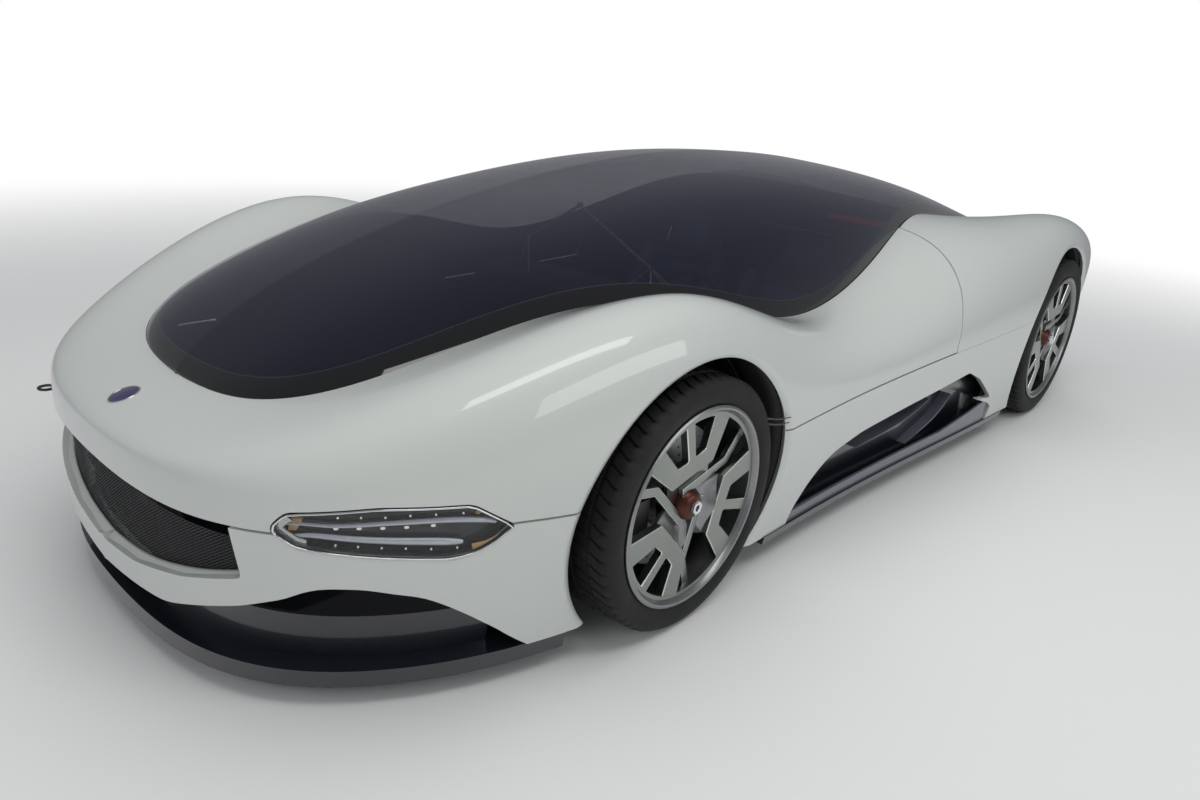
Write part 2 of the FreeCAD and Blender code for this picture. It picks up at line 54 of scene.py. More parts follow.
print("frame loaded:", len(nodes), "nodes")

# Shader graphs: a wrapped socket takes plain arithmetic


class Socket:
    def __init__(self, finish, plug):
        self.finish = finish
        self.plug = plug

    def maths(self, operation, *values):
        return self.finish.node("ShaderNodeMath", {"operation": operation}, dict(enumerate(values)))

    def __add__(self, other):
        return self.maths("ADD", self, other)

    def __radd__(self, other):
        return self.maths("ADD", other, self)

    def __sub__(self, other):
        return self.maths("SUBTRACT", self, other)

    def __rsub__(self, other):
        return self.maths("SUBTRACT", other, self)

    def __mul__(self, other):
        return self.maths("MULTIPLY", self, other)

    def __rmul__(self, other):
        return self.maths("MULTIPLY", other, self)

    def __truediv__(self, other):
        return self.maths("DIVIDE", self, other)


class Finish:
    def __init__(self, name):
        self.material = bpy.data.materials.new(name)
        self.material.use_nodes = True
        self.tree = self.material.node_tree
        self.shader = self.tree.nodes["Principled BSDF"]

    def node(self, kind, settings=None, inputs=None, output=0):
        made = self.tree.nodes.new(kind)
        for key, value in (settings or {}).items():
            setattr(made, key, value)
        for key, value in (inputs or {}).items():
            self.feed(made.inputs[key], value)
        return Socket(self, made.outputs[output])

    def feed(self, target, value):
        if isinstance(value, Socket):
            self.tree.links.new(value.plug, target)
        elif hasattr(target.default_value, "__len__") and len(target.default_value) == 4:
            target.default_value = (*value, 1) if len(value) == 3 else value
        else:
            target.default_value = value

    def place(self):
        return self.node("ShaderNodeTexCoord", output=3)

    def turnedPlace(self):
        return self.node("ShaderNodeUVMap", {"uv_map": "turned"})

    def scaled(self, where, size):
        return self.node("ShaderNodeVectorMath", {"operation": "MULTIPLY"}, {0: where, 1: size})

    def axis(self, where, index):
        return self.node("ShaderNodeSeparateXYZ", {}, {0: where}, index)

    def noise(self, where, scale, detail=4, roughness=0.55):
        return self.node("ShaderNodeTexNoise", {}, {"Vector": where, "Scale": scale, "Detail": detail,
                                                    "Roughness": roughness})

    def cells(self, where, scale, feature="F1", output=0):
        return self.node("ShaderNodeTexVoronoi", {"feature": feature},
                         {"Vector": where, "Scale": scale}, output)

    def facing(self, blend=0.35):
        return self.node("ShaderNodeLayerWeight", {}, {"Blend": blend}, 1)

    def mix(self, factor, first, second, how="MIX"):
        return self.node("ShaderNodeMix", {"data_type": "RGBA", "blend_type": how},
                         {0: factor, 6: first, 7: second}, 2)

    def between(self, value, low, high, outLow=0, outHigh=1):
        return self.node("ShaderNodeMapRange", {"interpolation_type": "SMOOTHSTEP"},
                         {0: value, 1: low, 2: high, 3: outLow, 4: outHigh})

    def bump(self, height, distance, strength=1):
        return self.node("ShaderNodeBump", {}, {"Height": height, "Distance": distance, "Strength": strength})

    def wear(self, **values):
        for key, value in values.items():
            self.feed(self.shader.inputs[socketNames[key]], value)
        return self.material


socketNames = {"colour": "Base Color", "rough": "Roughness", "metal": "Metallic", "coat": "Coat Weight",
               "coatRough": "Coat Roughness", "normal": "Normal", "alpha": "Alpha",
               "specular": "Specular IOR Level", "glow": "Emission Color",
               "glowStrength": "Emission Strength"}


def pearlPaint():
    look = {"face": (0.63, 0.655, 0.625), "edge": (0.52, 0.565, 0.555), "flake": 900, "cloud": 1.6}
    f = Finish("pearlPaint")
    where = f.place()
    tone = f.mix(f.facing(0.30), look["face"], look["edge"])
    cloud = f.between(f.noise(where, look["cloud"]), 0.35, 0.65)
    tone = f.mix(cloud * 0.06, tone, (0.56, 0.60, 0.62))
    flake = f.cells(where, look["flake"])
    return f.wear(colour=tone, rough=0.34 + flake * 0.08, coat=1, coatRough=0.035, specular=0.45,
                  normal=f.bump(flake, 0.00002, 0.25))


def darkGlass():
    f = Finish("darkGlass")
    # base colour turns bluer and lighter towards grazing angles: a painted blue sheen
    tone = f.mix(f.facing(0.25), (0.004, 0.005, 0.014), (0.012, 0.014, 0.045))
    edge = f.node("ShaderNodeAttribute", {"attribute_name": "edge"}, output=2)
    band = f.between(edge, 0.050, 0.046)
    line = f.between(edge, 0.049, 0.0505) * f.between(edge, 0.0525, 0.051)
    tone = f.mix(band, tone, (0.003, 0.003, 0.004))
    tone = f.mix(line * 0.5, tone, (0.10, 0.08, 0.11))
    slant = f.facing(0.5)
    body = 0.70 + slant * slant * 0.28
    return f.wear(colour=tone, rough=0.02 + band * 0.03, alpha=body + (1 - body) * band, specular=0.5,
                  coat=0.4, coatRough=0.01)


def clearGlass():
    f = Finish("clearGlass")
    # base colour turns lighter and bluer towards grazing angles: a painted sheen
    tone = f.mix(f.facing(0.25), (0.02, 0.022, 0.04), (0.05, 0.055, 0.09))
    edge = f.node("ShaderNodeAttribute", {"attribute_name": "edge"}, output=2)
    return f.wear(colour=tone, rough=0.4, alpha=f.between(edge, 0.051, 0.049, 0.05, 1), specular=0.05)


def lampGlass():
    f = Finish("lampGlass")
    # base colour turns lighter towards grazing angles: a painted reflection
    tone = f.mix(f.facing(0.3), (0.03, 0.032, 0.035), (0.10, 0.11, 0.12))
    return f.wear(colour=tone, rough=0.03, alpha=0.16, specular=1, coat=1, coatRough=0.02)


def twill(name, dark, light):
    f = Finish(name)
    tow = 0.0032  # width of one carbon tow
    where = f.place()
    across = (f.axis(where, 0) + f.axis(where, 2) * 0.7) / tow
    along = (f.axis(where, 1) + f.axis(where, 2) * 0.7) / tow
    step = (across.maths("FLOOR", across) + along.maths("FLOOR", along)) / 4
    over = f.between(step.maths("FRACT", step), 0.49, 0.51)
    ridge = across.maths("PINGPONG", across, 0.5) * over + along.maths("PINGPONG", along, 0.5) * (1 - over)
    tone = f.mix(over * 0.8 + ridge * 0.3, dark, light)
    return f.wear(colour=tone, rough=0.28 + over * 0.10, coat=1, coatRough=0.03,
                  normal=f.bump(ridge, 0.0004, 0.35))


def tyreRubber():
    f = Finish("tyreRubber")
    where = f.place()
    grain = f.noise(where, 420, 5)
    dust = f.between(f.noise(where, 7), 0.42, 0.75)
    tone = f.mix(dust * 0.5, (0.010, 0.010, 0.011), (0.030, 0.029, 0.028))
    return f.wear(colour=tone, rough=0.62 + grain * 0.18, normal=f.bump(grain, 0.0004, 0.5), specular=0.4)


def machinedAlloy():
    f = Finish("machinedAlloy")
    spot = f.turnedPlace()
    groove = f.noise(f.scaled(spot, (3, 2600, 1)), 1, 3)
    haze = f.noise(f.place(), 9)
    tone = f.mix(haze, (0.25, 0.27, 0.26), (0.36, 0.38, 0.355))
    return f.wear(colour=tone, metal=1, rough=0.24 + groove * 0.12, coat=0.2, coatRough=0.08,
                  normal=f.bump(groove, 0.00006, 0.35))


def discSteel():
    f = Finish("discSteel")
    spot = f.turnedPlace()
    groove = f.noise(f.scaled(spot, (2, 1800, 1)), 1, 4)
    return f.wear(colour=f.mix(groove, (0.30, 0.30, 0.31), (0.52, 0.52, 0.53)), metal=1,
                  rough=0.30 + groove * 0.2, normal=f.bump(groove, 0.0001, 0.5))


def blueLeather():
    f = Finish("blueLeather")
    where = f.place()
    pores = f.cells(where, 420, "DISTANCE_TO_EDGE")
    grain = f.between(pores, 0.0, 0.12)
    tone = f.mix(f.noise(where, 12), (0.030, 0.045, 0.13), (0.05, 0.075, 0.20))
    tone = f.mix(grain, (0.015, 0.02, 0.06), tone)
    return f.wear(colour=tone, rough=0.42 + grain * 0.12, normal=f.bump(grain, 0.0006, 0.6), specular=0.45)


def darkLeather():
    f = Finish("darkLeather")
    where = f.place()
    grain = f.between(f.cells(where, 380, "DISTANCE_TO_EDGE"), 0.0, 0.12)
    tone = f.mix(f.noise(where, 15), (0.014, 0.014, 0.018), (0.03, 0.03, 0.036))
    return f.wear(colour=tone, rough=0.5 + grain * 0.1, normal=f.bump(grain, 0.0006, 0.6))


# Two tones mixed by one noise (scale, detail) or cell pattern, which may also vary the roughness
plainLooks = {
    "under": {"name": "underPaint", "noise": (260, 5), "tones": ((0.012, 0.012, 0.013), (0.03, 0.03, 0.032)),
              "rough": 0.75, "bump": (0.0006, 0.6)},
    "chrome": {"name": "chromeTrim", "noise": (30, 4), "tones": ((0.78, 0.79, 0.81), (0.88, 0.89, 0.90)),
               "rough": 0.05, "change": 0.05, "metal": 1},
    "blade": {"name": "lampBlade", "noise": (90, 4), "tones": ((0.55, 0.58, 0.62), (0.78, 0.80, 0.84)),
              "rough": 0.16, "change": 0.1, "metal": 0.55, "coat": 1, "glow": (0.75, 0.85, 1.0),
              "glowStrength": 0.12},
    "led": {"name": "ledClear", "cells": 500, "tones": ((0.95, 0.95, 0.9), (0.55, 0.58, 0.6)),
            "rough": 0.15, "coat": 1, "glow": (1, 0.97, 0.85), "glowStrength": 0.5},
    "amber": {"name": "ledAmber", "cells": 420, "tones": ((0.85, 0.60, 0.30), (0.30, 0.17, 0.07)),
              "rough": 0.25, "coat": 1, "glow": (0.9, 0.55, 0.2), "glowStrength": 0.12},
    "gloss": {"name": "blackGloss", "noise": (45, 4), "tones": ((0.008, 0.008, 0.010), (0.02, 0.02, 0.024)),
              "rough": 0.12, "change": 0.1, "coat": 0.6},
    "plastic": {"name": "blackPlastic", "cells": 800, "tones": ((0.018, 0.018, 0.02), (0.04, 0.04, 0.043)),
                "rough": 0.6, "bump": (0.0003, 0.5)},
    "skirt": {"name": "greySkirt", "noise": (8, 4), "tones": ((0.085, 0.09, 0.12), (0.115, 0.12, 0.155)),
              "rough": 0.30, "change": 0.08, "coat": 0.6, "coatRough": 0.08},
    "satin": {"name": "satinAlloy", "noise": (60, 5), "tones": ((0.27, 0.27, 0.28), (0.37, 0.37, 0.375)),
              "rough": 0.28, "change": 0.12, "metal": 1},
    # bright colour on the wheel arms' chamfers: a painted highlight
    "chamfer": {"name": "chamferPaintedHighlight", "noise": (40, 3), "tones": ((0.72, 0.76, 0.70), (0.86, 0.89, 0.83)),
                "rough": 0.22, "change": 0.1, "metal": 0.85},
    # dark brown on the hub cone: a painted reflection of dark surroundings
    "brownPaintedReflection": {"name": "brownPaintedReflectionMetal", "noise": (70, 5),
               "tones": ((0.075, 0.026, 0.020), (0.14, 0.055, 0.040)), "rough": 0.28, "change": 0.15,
               "metal": 0.9},
    "dark": {"name": "darkMetal", "noise": (120, 5), "tones": ((0.06, 0.06, 0.065), (0.13, 0.13, 0.135)),
             "rough": 0.42, "change": 0.2, "metal": 0.8, "bump": (0.0003, 0.4)},
    "cast": {"name": "castMetal", "noise": (300, 6), "tones": ((0.22, 0.22, 0.22), (0.36, 0.36, 0.37)),
             "rough": 0.5, "change": 0.2, "metal": 0.9, "bump": (0.0008, 0.6)},
    "steel": {"name": "brightSteel", "noise": (60, 4), "tones": ((0.50, 0.50, 0.52), (0.68, 0.68, 0.70)),
              "rough": 0.18, "change": 0.16, "metal": 1, "stretch": (1, 14, 14)},
    "red": {"name": "tailRed", "cells": 260, "tones": ((0.42, 0.008, 0.008), (0.20, 0.004, 0.004)),
            "rough": 0.12, "coat": 1, "glow": (1, 0.02, 0.01), "glowStrength": 0.12, "bump": (0.0004, 0.4)},
    "enamel": {"name": "plainEnamel", "noise": (50, 4),
               "tones": ((0.016, 0.010, 0.075), (0.030, 0.016, 0.11)), "rough": 0.16, "change": 0.08,
               "coat": 1},
}


def plainFinish(name, tones, rough, noise=None, cells=None, change=0, bump=None, stretch=None, **others):
    f = Finish(name)
    where = f.scaled(f.place(), stretch) if stretch else f.place()
    pattern = f.noise(where, *noise) if noise else f.cells(where, cells)
    if change:
        rough = rough + pattern * change
    if bump:
        others["normal"] = f.bump(pattern, *bump)
    return f.wear(colour=f.mix(pattern, *tones), rough=rough, **others)


finishes = {"paint": pearlPaint(), "glass": darkGlass(), "glassBack": clearGlass(), "lamp": lampGlass(),
            "carbon": twill("carbonTwill", (0.004, 0.005, 0.008), (0.017, 0.019, 0.032)),
            "tyre": tyreRubber(), "machined": machinedAlloy(), "disc": discSteel(),
            "leather": blueLeather(), "darkLeather": darkLeather()}
for key, look in plainLooks.items():
    finishes[key] = plainFinish(**look)
print("finishes made:", len(finishes))

# Mesh helpers


def pieceFrom(name, bm, *looks):
    mesh = bpy.data.meshes.new(name)
    bm.to_mesh(mesh)
    bm.free()
    return pieceOf(name, mesh, *looks)


def pieceOf(name, mesh, *looks):
    obj = bpy.data.objects.new(name, mesh)
    bpy.context.scene.collection.objects.link(obj)
    if mesh.materials:
        mesh.materials.clear()
    for look in looks:
        mesh.materials.append(finishes[look])
    return obj


def smooth(obj, angle=35):
    mesh = obj.data
    mesh.polygons.foreach_set("use_smooth", [True] * len(mesh.polygons))
    mesh.set_sharp_from_angle(angle=math.radians(angle))
    return obj


def modify(obj, kind, **settings):
    made = obj.modifiers.new(kind.title(), kind)
    for key, value in settings.items():
        setattr(made, key, value)
    return made


# from an outline's plane to Y and Z, with its height across X
sideways = Matrix(((0, 0, 1, 0), (1, 0, 0, 0), (0, 1, 0, 0), (0, 0, 0, 1)))


def holder(data):
    obj = bpy.data.objects.new(data.name, data)
    bpy.context.scene.collection.objects.link(obj)
    return obj


def evaluated(obj):
    made = bpy.data.meshes.new_from_object(obj.evaluated_get(bpy.context.evaluated_depsgraph_get()))
    bpy.data.objects.remove(obj)
    return made


# quads of a grid that may close on itself either way; flipped, they face the other side
def gridFaces(rows, cols, first=0, wrapRows=False, wrapCols=False, flip=False):
    faces = []
    for i in range(rows if wrapRows else rows - 1):
        a, b = first + i * cols, first + (i + 1) % rows * cols
        for j in range(cols if wrapCols else cols - 1):
            n = (j + 1) % cols
            faces.append((a + j, a + n, b + n, b + j) if flip else (a + j, b + j, b + n, a + n))
    return faces


def meshOf(name, points, faces):
    mesh = bpy.data.meshes.new(name)
    mesh.from_pydata([tuple(p) for p in points], [], faces)
    mesh.update()
    return mesh


def joinMeshes(name, meshes):
    bm = bmesh.new()
    for mesh in meshes:
        bm.from_mesh(mesh)
    whole = bpy.data.meshes.new(name)
    bm.to_mesh(whole)
    bm.free()
    return whole


def flipX(mesh):
    other = mesh.copy()
    other.transform(Matrix.Scale(-1, 4, (1, 0, 0)))
    other.flip_normals()
    return other


# corners turned into arcs
def roundedLoop(points, radius, steps=7):
    made = []
    count = len(points)
    for i in range(count):
        before, here, after = (Vector(points[k % count]).to_2d() for k in (i - 1, i, i + 1))
        limit = radius[i] if isinstance(radius, (list, tuple)) else radius
        a, b = before - here, after - here
        turn = a.angle(b, math.pi)
        whole = limit / math.tan(turn / 2) if turn < math.pi - 0.01 else 0
        back = min(whole, a.length * 0.48, b.length * 0.48)
        if limit <= 0 or back < 1e-6:
            made.append(tuple(here))
            continue
        start, end = here + a.normalized() * back, here + b.normalized() * back
        for k in range(steps):
            t = k / (steps - 1)
            made.append(tuple(start * (1 - t) ** 2 + here * (2 * t * (1 - t)) + end * t * t))
    return made


# signed distance to a closed outline in a plane, positive outside
def outlineField(loop):
    a = np.array(loop, float)
    b = np.roll(a, -1, 0)
    edge = b - a

    def field(p):
        best = np.full(len(p), 1e9)
        inside = np.zeros(len(p), bool)
        for k in range(len(a)):
            rel = p - a[k]
            size = max(edge[k] @ edge[k], 1e-12)
            t = np.clip(rel @ edge[k] / size, 0, 1)
            gap = rel - t[:, None] * edge[k]
            best = np.minimum(best, np.hypot(gap[:, 0], gap[:, 1]))
            crosses = (a[k, 1] > p[:, 1]) != (b[k, 1] > p[:, 1])
            level = edge[k, 1] if abs(edge[k, 1]) > 1e-12 else 1e-12
            side = p[:, 0] < a[k, 0] + (p[:, 1] - a[k, 1]) * edge[k, 0] / level
            inside ^= crosses & side
        return np.where(inside, -best, best)
    return field


# splits the faces where the field changes sign and drops what lies below zero
def cutMesh(bm, field, drop=True):
    layer = bm.verts.layers.float.get("cut") or bm.verts.layers.float.new("cut")
    verts = list(bm.verts)
    if not verts:
        return
    values = field(np.array([v.co for v in verts]))
    for v, value in zip(verts, values):
        v[layer] = value
    near = 2e-5
    crossing = [e for e in bm.edges if e.verts[0][layer] * e.verts[1][layer] < 0
                and min(abs(e.verts[0][layer]), abs(e.verts[1][layer])) > near]
    if crossing:
        a = np.array([e.verts[0].co for e in crossing])
        b = np.array([e.verts[1].co for e in crossing])
        fa = np.array([e.verts[0][layer] for e in crossing])
        fb = np.array([e.verts[1][layer] for e in crossing])
        low, high = np.zeros(len(a)), np.ones(len(a))
        t = fa / (fa - fb)
        for _ in range(4):
            value = field(a + (b - a) * t[:, None])
            same = value * fa > 0
            low, high = np.where(same, t, low), np.where(same, high, t)
            fLow = np.where(same, value, fa)
            fHigh = np.where(same, fb, value)
            fa, fb = fLow, fHigh
            t = low + (high - low) * np.where(np.abs(fLow - fHigh) > 1e-12, fLow / (fLow - fHigh), 0.5)
        for e, start, share in zip(crossing, a, t):
            first = e.verts[0] if (e.verts[0].co - Vector(start)).length < 1e-9 else e.verts[1]
            made = bmesh.utils.edge_split(e, first, float(min(max(share, 0.001), 0.999)))[1]
            made[layer] = 0
    on = [v for v in bm.verts if abs(v[layer]) <= near]
    if on:
        bmesh.ops.connect_verts(bm, verts=on, check_degenerate=False)
    if drop:
        gone = [f for f in bm.faces if sum(v[layer] for v in f.verts) < 0]
        bmesh.ops.delete(bm, geom=gone, context="FACES")


# Body surface: the same control nets as the solids, in metres

# Columns: y, seamX, seamZ, flankX, flankZ, shoulderX, shoulderZ, crownX, crownZ,
# innerX, innerZ, deckZ, centreZ
bodyNet = [
    (-2.33, 0, 0.42, 0, 0.47, 0, 0.5, 0, 0.505, 0, 0.508, 0.51, 0.51),
    (-2.33, 0.25, 0.42, 0.25, 0.475, 0.225, 0.51, 0.18, 0.516, 0.13, 0.52, 0.522, 0.522),
    (-2.28, 0.5, 0.42, 0.5, 0.49, 0.465, 0.537, 0.39, 0.546, 0.27, 0.55, 0.551, 0.552),
    (-2.12, 0.695, 0.425, 0.7, 0.51, 0.66, 0.595, 0.565, 0.617, 0.4, 0.6, 0.589, 0.589),
    (-1.872, 0.84, 0.43, 0.85, 0.542, 0.812, 0.695, 0.7, 0.74, 0.515, 0.672, 0.64, 0.635),
    (-1.578, 0.917, 0.438, 0.932, 0.59, 0.902, 0.792, 0.782, 0.865, 0.58, 0.755, 0.7, 0.69),
    (-1.283, 0.955, 0.446, 0.965, 0.61, 0.935, 0.835, 0.8, 0.905, 0.62, 0.775, 0.74, 0.73),
    (-0.938, 0.955, 0.455, 0.95, 0.59, 0.9, 0.73, 0.79, 0.795, 0.64, 0.71, 0.74, 0.74),
    (-0.518, 0.95, 0.468, 0.93, 0.56, 0.85, 0.61, 0.76, 0.632, 0.66, 0.622, 0.7, 0.72),
    (-0.008, 0.97, 0.485, 0.95, 0.58, 0.86, 0.655, 0.76, 0.712, 0.66, 0.76, 0.85, 0.86),
    (0.492, 1, 0.503, 0.985, 0.65, 0.9, 0.8, 0.76, 0.89, 0.58, 0.935, 0.93, 0.93),
    (0.942, 1.02, 0.518, 1.015, 0.69, 0.95, 0.84, 0.8, 0.9, 0.6, 0.88, 0.87, 0.87),
    (1.367, 1.025, 0.53, 1.025, 0.73, 0.97, 0.9, 0.82, 0.945, 0.62, 0.86, 0.81, 0.8),
    (1.792, 0.985, 0.54, 0.985, 0.72, 0.93, 0.85, 0.78, 0.89, 0.6, 0.82, 0.77, 0.76),
    (2.142, 0.905, 0.55, 0.905, 0.69, 0.85, 0.78, 0.72, 0.81, 0.56, 0.78, 0.745, 0.735),
    (2.33, 0.845, 0.555, 0.845, 0.67, 0.79, 0.745, 0.68, 0.77, 0.53, 0.75, 0.73, 0.72),
]
bodyShape = {"halfLength": 2.33, "sillZ": 0.10, "lowerZ": 0.25, "sillTuck": 0.045, "lowerTuck": 0.020,
             "tuckFullAt": 0.5, "deckShare": 0.46}

# Columns: y, footX, lowX, lowZ, midX, midZ, highX, highZ, centreZ
bubbleNet = [
    (-2.13, 0, 0, 0.57, 0, 0.58, 0, 0.585, 0.59),
    (-2.13, 0.23, 0.23, 0.572, 0.18, 0.59, 0.095, 0.597, 0.6),
    (-2.07, 0.415, 0.415, 0.6, 0.34, 0.645, 0.175, 0.66, 0.665),
    (-1.88, 0.57, 0.565, 0.66, 0.45, 0.735, 0.24, 0.775, 0.785),
    (-1.5, 0.66, 0.65, 0.74, 0.51, 0.86, 0.28, 0.91, 0.92),
    (-1.008, 0.71, 0.695, 0.78, 0.56, 0.94, 0.31, 1.01, 1.028),
    (-0.458, 0.715, 0.7, 0.8, 0.58, 1, 0.32, 1.082, 1.1),
    (0.042, 0.69, 0.675, 0.85, 0.56, 1.015, 0.31, 1.088, 1.102),
    (0.542, 0.62, 0.6, 0.9, 0.5, 1.005, 0.275, 1.058, 1.072),
    (1.042, 0.52, 0.505, 0.88, 0.43, 0.95, 0.235, 0.988, 0.998),
    (1.542, 0.43, 0.42, 0.82, 0.355, 0.868, 0.195, 0.895, 0.903),
    (2.042, 0.345, 0.335, 0.755, 0.28, 0.78, 0.15, 0.797, 0.802),
    (2.28, 0.3, 0.29, 0.725, 0.245, 0.74, 0.13, 0.748, 0.752),
]
bubbleFootZ = 0.48

# Seam between the lower panels and the upper body, and the lid's rear edge: y, z
seamLine = [(-2.4, 0.426), (-2.25, 0.438), (-2.1, 0.446), (-1.8, 0.442), (-1.66, 0.432), (-0.908, 0.455),
            (0.042, 0.487), (1.042, 0.52), (2.4, 0.556)]
lidEdge = [(0.192, 0.52), (0.225, 0.61), (0.285, 0.7), (0.335, 0.79), (0.39, 0.9), (0.39, 1.3)]

panels = {"skin": 0.020, "gap": 0.006, "bevel": 0.0018, "rowStep": 0.017, "colCount": 150, "lipWide": 0.026,
          "lipDeep": 0.011, "snap": 3e-5, "frontEnd": -2.4, "rearEnd": 2.4, "sillFrom": 0.6}
arches = {"front": (-1.283, 0.338, 0.384), "rear": (1.367, 0.367, 0.420), "inside": 0.48}
outlines = {
    "lamp": [(-0.223, 0.45), (-0.185, 0.489), (-0.011, 0.506), (0.165, 0.501), (0.249, 0.44),
             (0.213, 0.409), (0.175, 0.389), (0.128, 0.379), (-0.049, 0.4), (-0.166, 0.415)],
    "lampRadius": [0.030, 0.040, 0.30, 0.05, 0.005, 0.10, 0.10, 0.10, 0.30, 0.06],
    "grille": [(0.5, 0.48), (0.519, 0.325), (0.364, 0.28), (0.18, 0.24), (0, 0.222), (0, 0.48)],
    "grilleRadius": [0, 0.016, 0.3, 0.3, 0, 0],
    "grilleBack": -2.0,
    "chin": [(0.827, 0.06), (0.827, 0.1), (0.811, 0.178), (0.795, 0.228), (0.777, 0.266), (0.758, 0.293),
             (0.7, 0.322), (0.64, 0.325), (0.586, 0.291), (0.506, 0.257), (0.3, 0.19), (0, 0.165), (0, 0.06)],
    "chinRadius": [0, 0, 0.3, 0.3, 0.3, 0.1, 0.09, 0.09, 0.09, 0.3, 0.3, 0, 0],
    "chinBack": -1.66,
    "sill": [(-0.76, 0.06), (-0.76, 0.141), (-0.697, 0.232), (-0.599, 0.297), (-0.419, 0.328),
             (-0.152, 0.346), (0.148, 0.366), (0.377, 0.386), (0.511, 0.334), (0.716, 0.214),
             (0.405, 0.260), (0.55, 0.238), (0.70, 0.192), (0.758, 0.165), (0.76, 0.06)],
    "sillRadius": [0, 0.3, 0.3, 0.3, 0.5, 0.5, 0.5, 0.06, 0.3, 0.006, 0.002, 0.3, 0.2, 0.02, 0],
}
lampPlace = {"x": 0.665, "y": -1.985, "slope": math.radians(47.5), "back": -1.60}


# weights of a clamped uniform cubic B-spline with that many poles
def splineWeights(count, params):
    spans = count - 3
    knots = np.concatenate([[0] * 3, np.arange(spans + 1) / spans, [1] * 3])
    t = np.clip(params, 0, 1 - 1e-12)
    weights = np.array([(t >= knots[i]) & (t < knots[i + 1]) for i in range(count + 3)], float).T
    for degree in (1, 2, 3):
        for i in range(count + 3 - degree):
            near, far = knots[i + degree] - knots[i], knots[i + degree + 1] - knots[i + 1]
            left = (t - knots[i]) / near * weights[:, i] if near > 0 else 0
            right = (knots[i + degree + 1] - t) / far * weights[:, i + 1] if far > 0 else 0
            weights[:, i] = left + right
    return weights[:, :count]


def bodyPoles(inset=0.0):
    s = bodyShape
    rows = []
    for (y, seamX, seamZ, flankX, flankZ, shoulderX, shoulderZ, crownX, crownZ,
            innerX, innerZ, deckZ, centreZ) in bodyNet:
        narrow = min(1, seamX / s["tuckFullAt"])
        row = [(seamX - s["sillTuck"] * narrow, s["sillZ"]), (seamX - s["lowerTuck"] * narrow, s["lowerZ"]),
               (seamX, seamZ), (flankX, flankZ), (shoulderX, shoulderZ), (crownX, crownZ),
               (innerX, innerZ), (innerX * s["deckShare"], deckZ), (0, centreZ)]
        rows.append([(x * (1 - inset), y * (1 - inset / s["halfLength"]), z - inset) for x, z in row])
    return np.array(rows)


def bubblePoles():
    rows = []
    for y, footX, lowX, lowZ, midX, midZ, highX, highZ, centreZ in bubbleNet:
        row = [(footX, bubbleFootZ), (lowX, lowZ), (midX, midZ), (highX, highZ), (0, centreZ)]
        rows.append([(x, y, z) for x, z in row])
    return np.array(rows)


def surface(poles, us, vs):
    a, b = splineWeights(poles.shape[0], us), splineWeights(poles.shape[1], vs)
    return np.einsum("ui,ijk,vj->uvk", a, poles, b)


# parameters of evenly spaced points along a densely sampled curve
def evenParams(points, count):
    steps = np.linalg.norm(np.diff(points, axis=0), axis=1)
    run = np.concatenate([[0], np.cumsum(steps)])
    return np.interp(np.linspace(0, run[-1], count), run, np.linspace(0, 1, len(points)))


dense = np.linspace(0, 1, 2400)
bodyUs = evenParams(surface(bodyPoles(), dense, np.array([0.3]))[:, 0, :], int(5.4 / panels["rowStep"]))
midSections = surface(bodyPoles(), np.array([0.45, 0.8]), dense)
bodyVs = (evenParams(midSections[0], panels["colCount"]) + evenParams(midSections[1], panels["colCount"])) / 2
bodyVs[0], bodyVs[-1] = 0, 1


# half width at each station along Y and each height
def sideTable(poles, levels, stations, sideOnly):
    us = np.linspace(0, 1, stations)
    grid = surface(poles, us, np.linspace(0, 1, 500))
    table = np.zeros((stations, len(levels)))
    for i, section in enumerate(grid):
        x, z = section[:, 0], section[:, 2]
        if sideOnly:
            top = int(np.argmax(z))
            x, z = x[:top + 1], z[:top + 1]
        rise = np.maximum.accumulate(z)
        table[i] = np.interp(levels, rise, x)
        above = levels > rise[-1]
        table[i, above] = -(levels[above] - rise[-1])
    return grid[:, 0, 1], table


# bilinear look-up of a station and height table
def tableValue(ys, levels, table, y, z):
    i = np.clip(np.searchsorted(ys, y) - 1, 0, len(ys) - 2)
    j = np.clip(np.searchsorted(levels, z) - 1, 0, len(levels) - 2)
    s = np.clip((y - ys[i]) / np.maximum(ys[i + 1] - ys[i], 1e-9), 0, 1)
    t = np.clip((z - levels[j]) / (levels[j + 1] - levels[j]), 0, 1)
    low = table[i, j] * (1 - t) + table[i, j + 1] * t
    high = table[i + 1, j] * (1 - t) + table[i + 1, j + 1] * t
    return low * (1 - s) + high * s


bodyLevels = np.linspace(0.10, 0.96, 260)
bodyYs, bodyWidths = sideTable(bodyPoles(), bodyLevels, 700, True)
bubbleLevels = np.linspace(0.48, 1.12, 260)
bubbleYs, bubbleWidths = sideTable(bubblePoles(), bubbleLevels, 700, False)


# where the nose or the flank lies along Y for a place across and a height
def noseY(x, z, inset=0.0):
    x0 = abs(x) / (1 - inset)
    z0 = z + inset
    level = np.clip(np.searchsorted(bodyLevels, z0) - 1, 0, len(bodyLevels) - 2)
    share = np.clip((z0 - bodyLevels[level]) / (bodyLevels[level + 1] - bodyLevels[level]), 0, 1)
    half = len(bodyYs) * 2 // 5
    found = [np.interp(x0, bodyWidths[:half, k], bodyYs[:half]) for k in (level, level + 1)]
    return (found[0] * (1 - share) + found[1] * share) * (1 - inset / bodyShape["halfLength"])


def flankX(y, z):
    return float(tableValue(bodyYs, bodyLevels, bodyWidths, np.array([y]), np.array([z]))[0])


def seamField(lift, keepAbove):
    line = np.array(seamLine)

    def field(p):
        rise = p[:, 2] - np.interp(p[:, 1], line[:, 0], line[:, 1]) - lift
        return rise if keepAbove else -rise
    return field


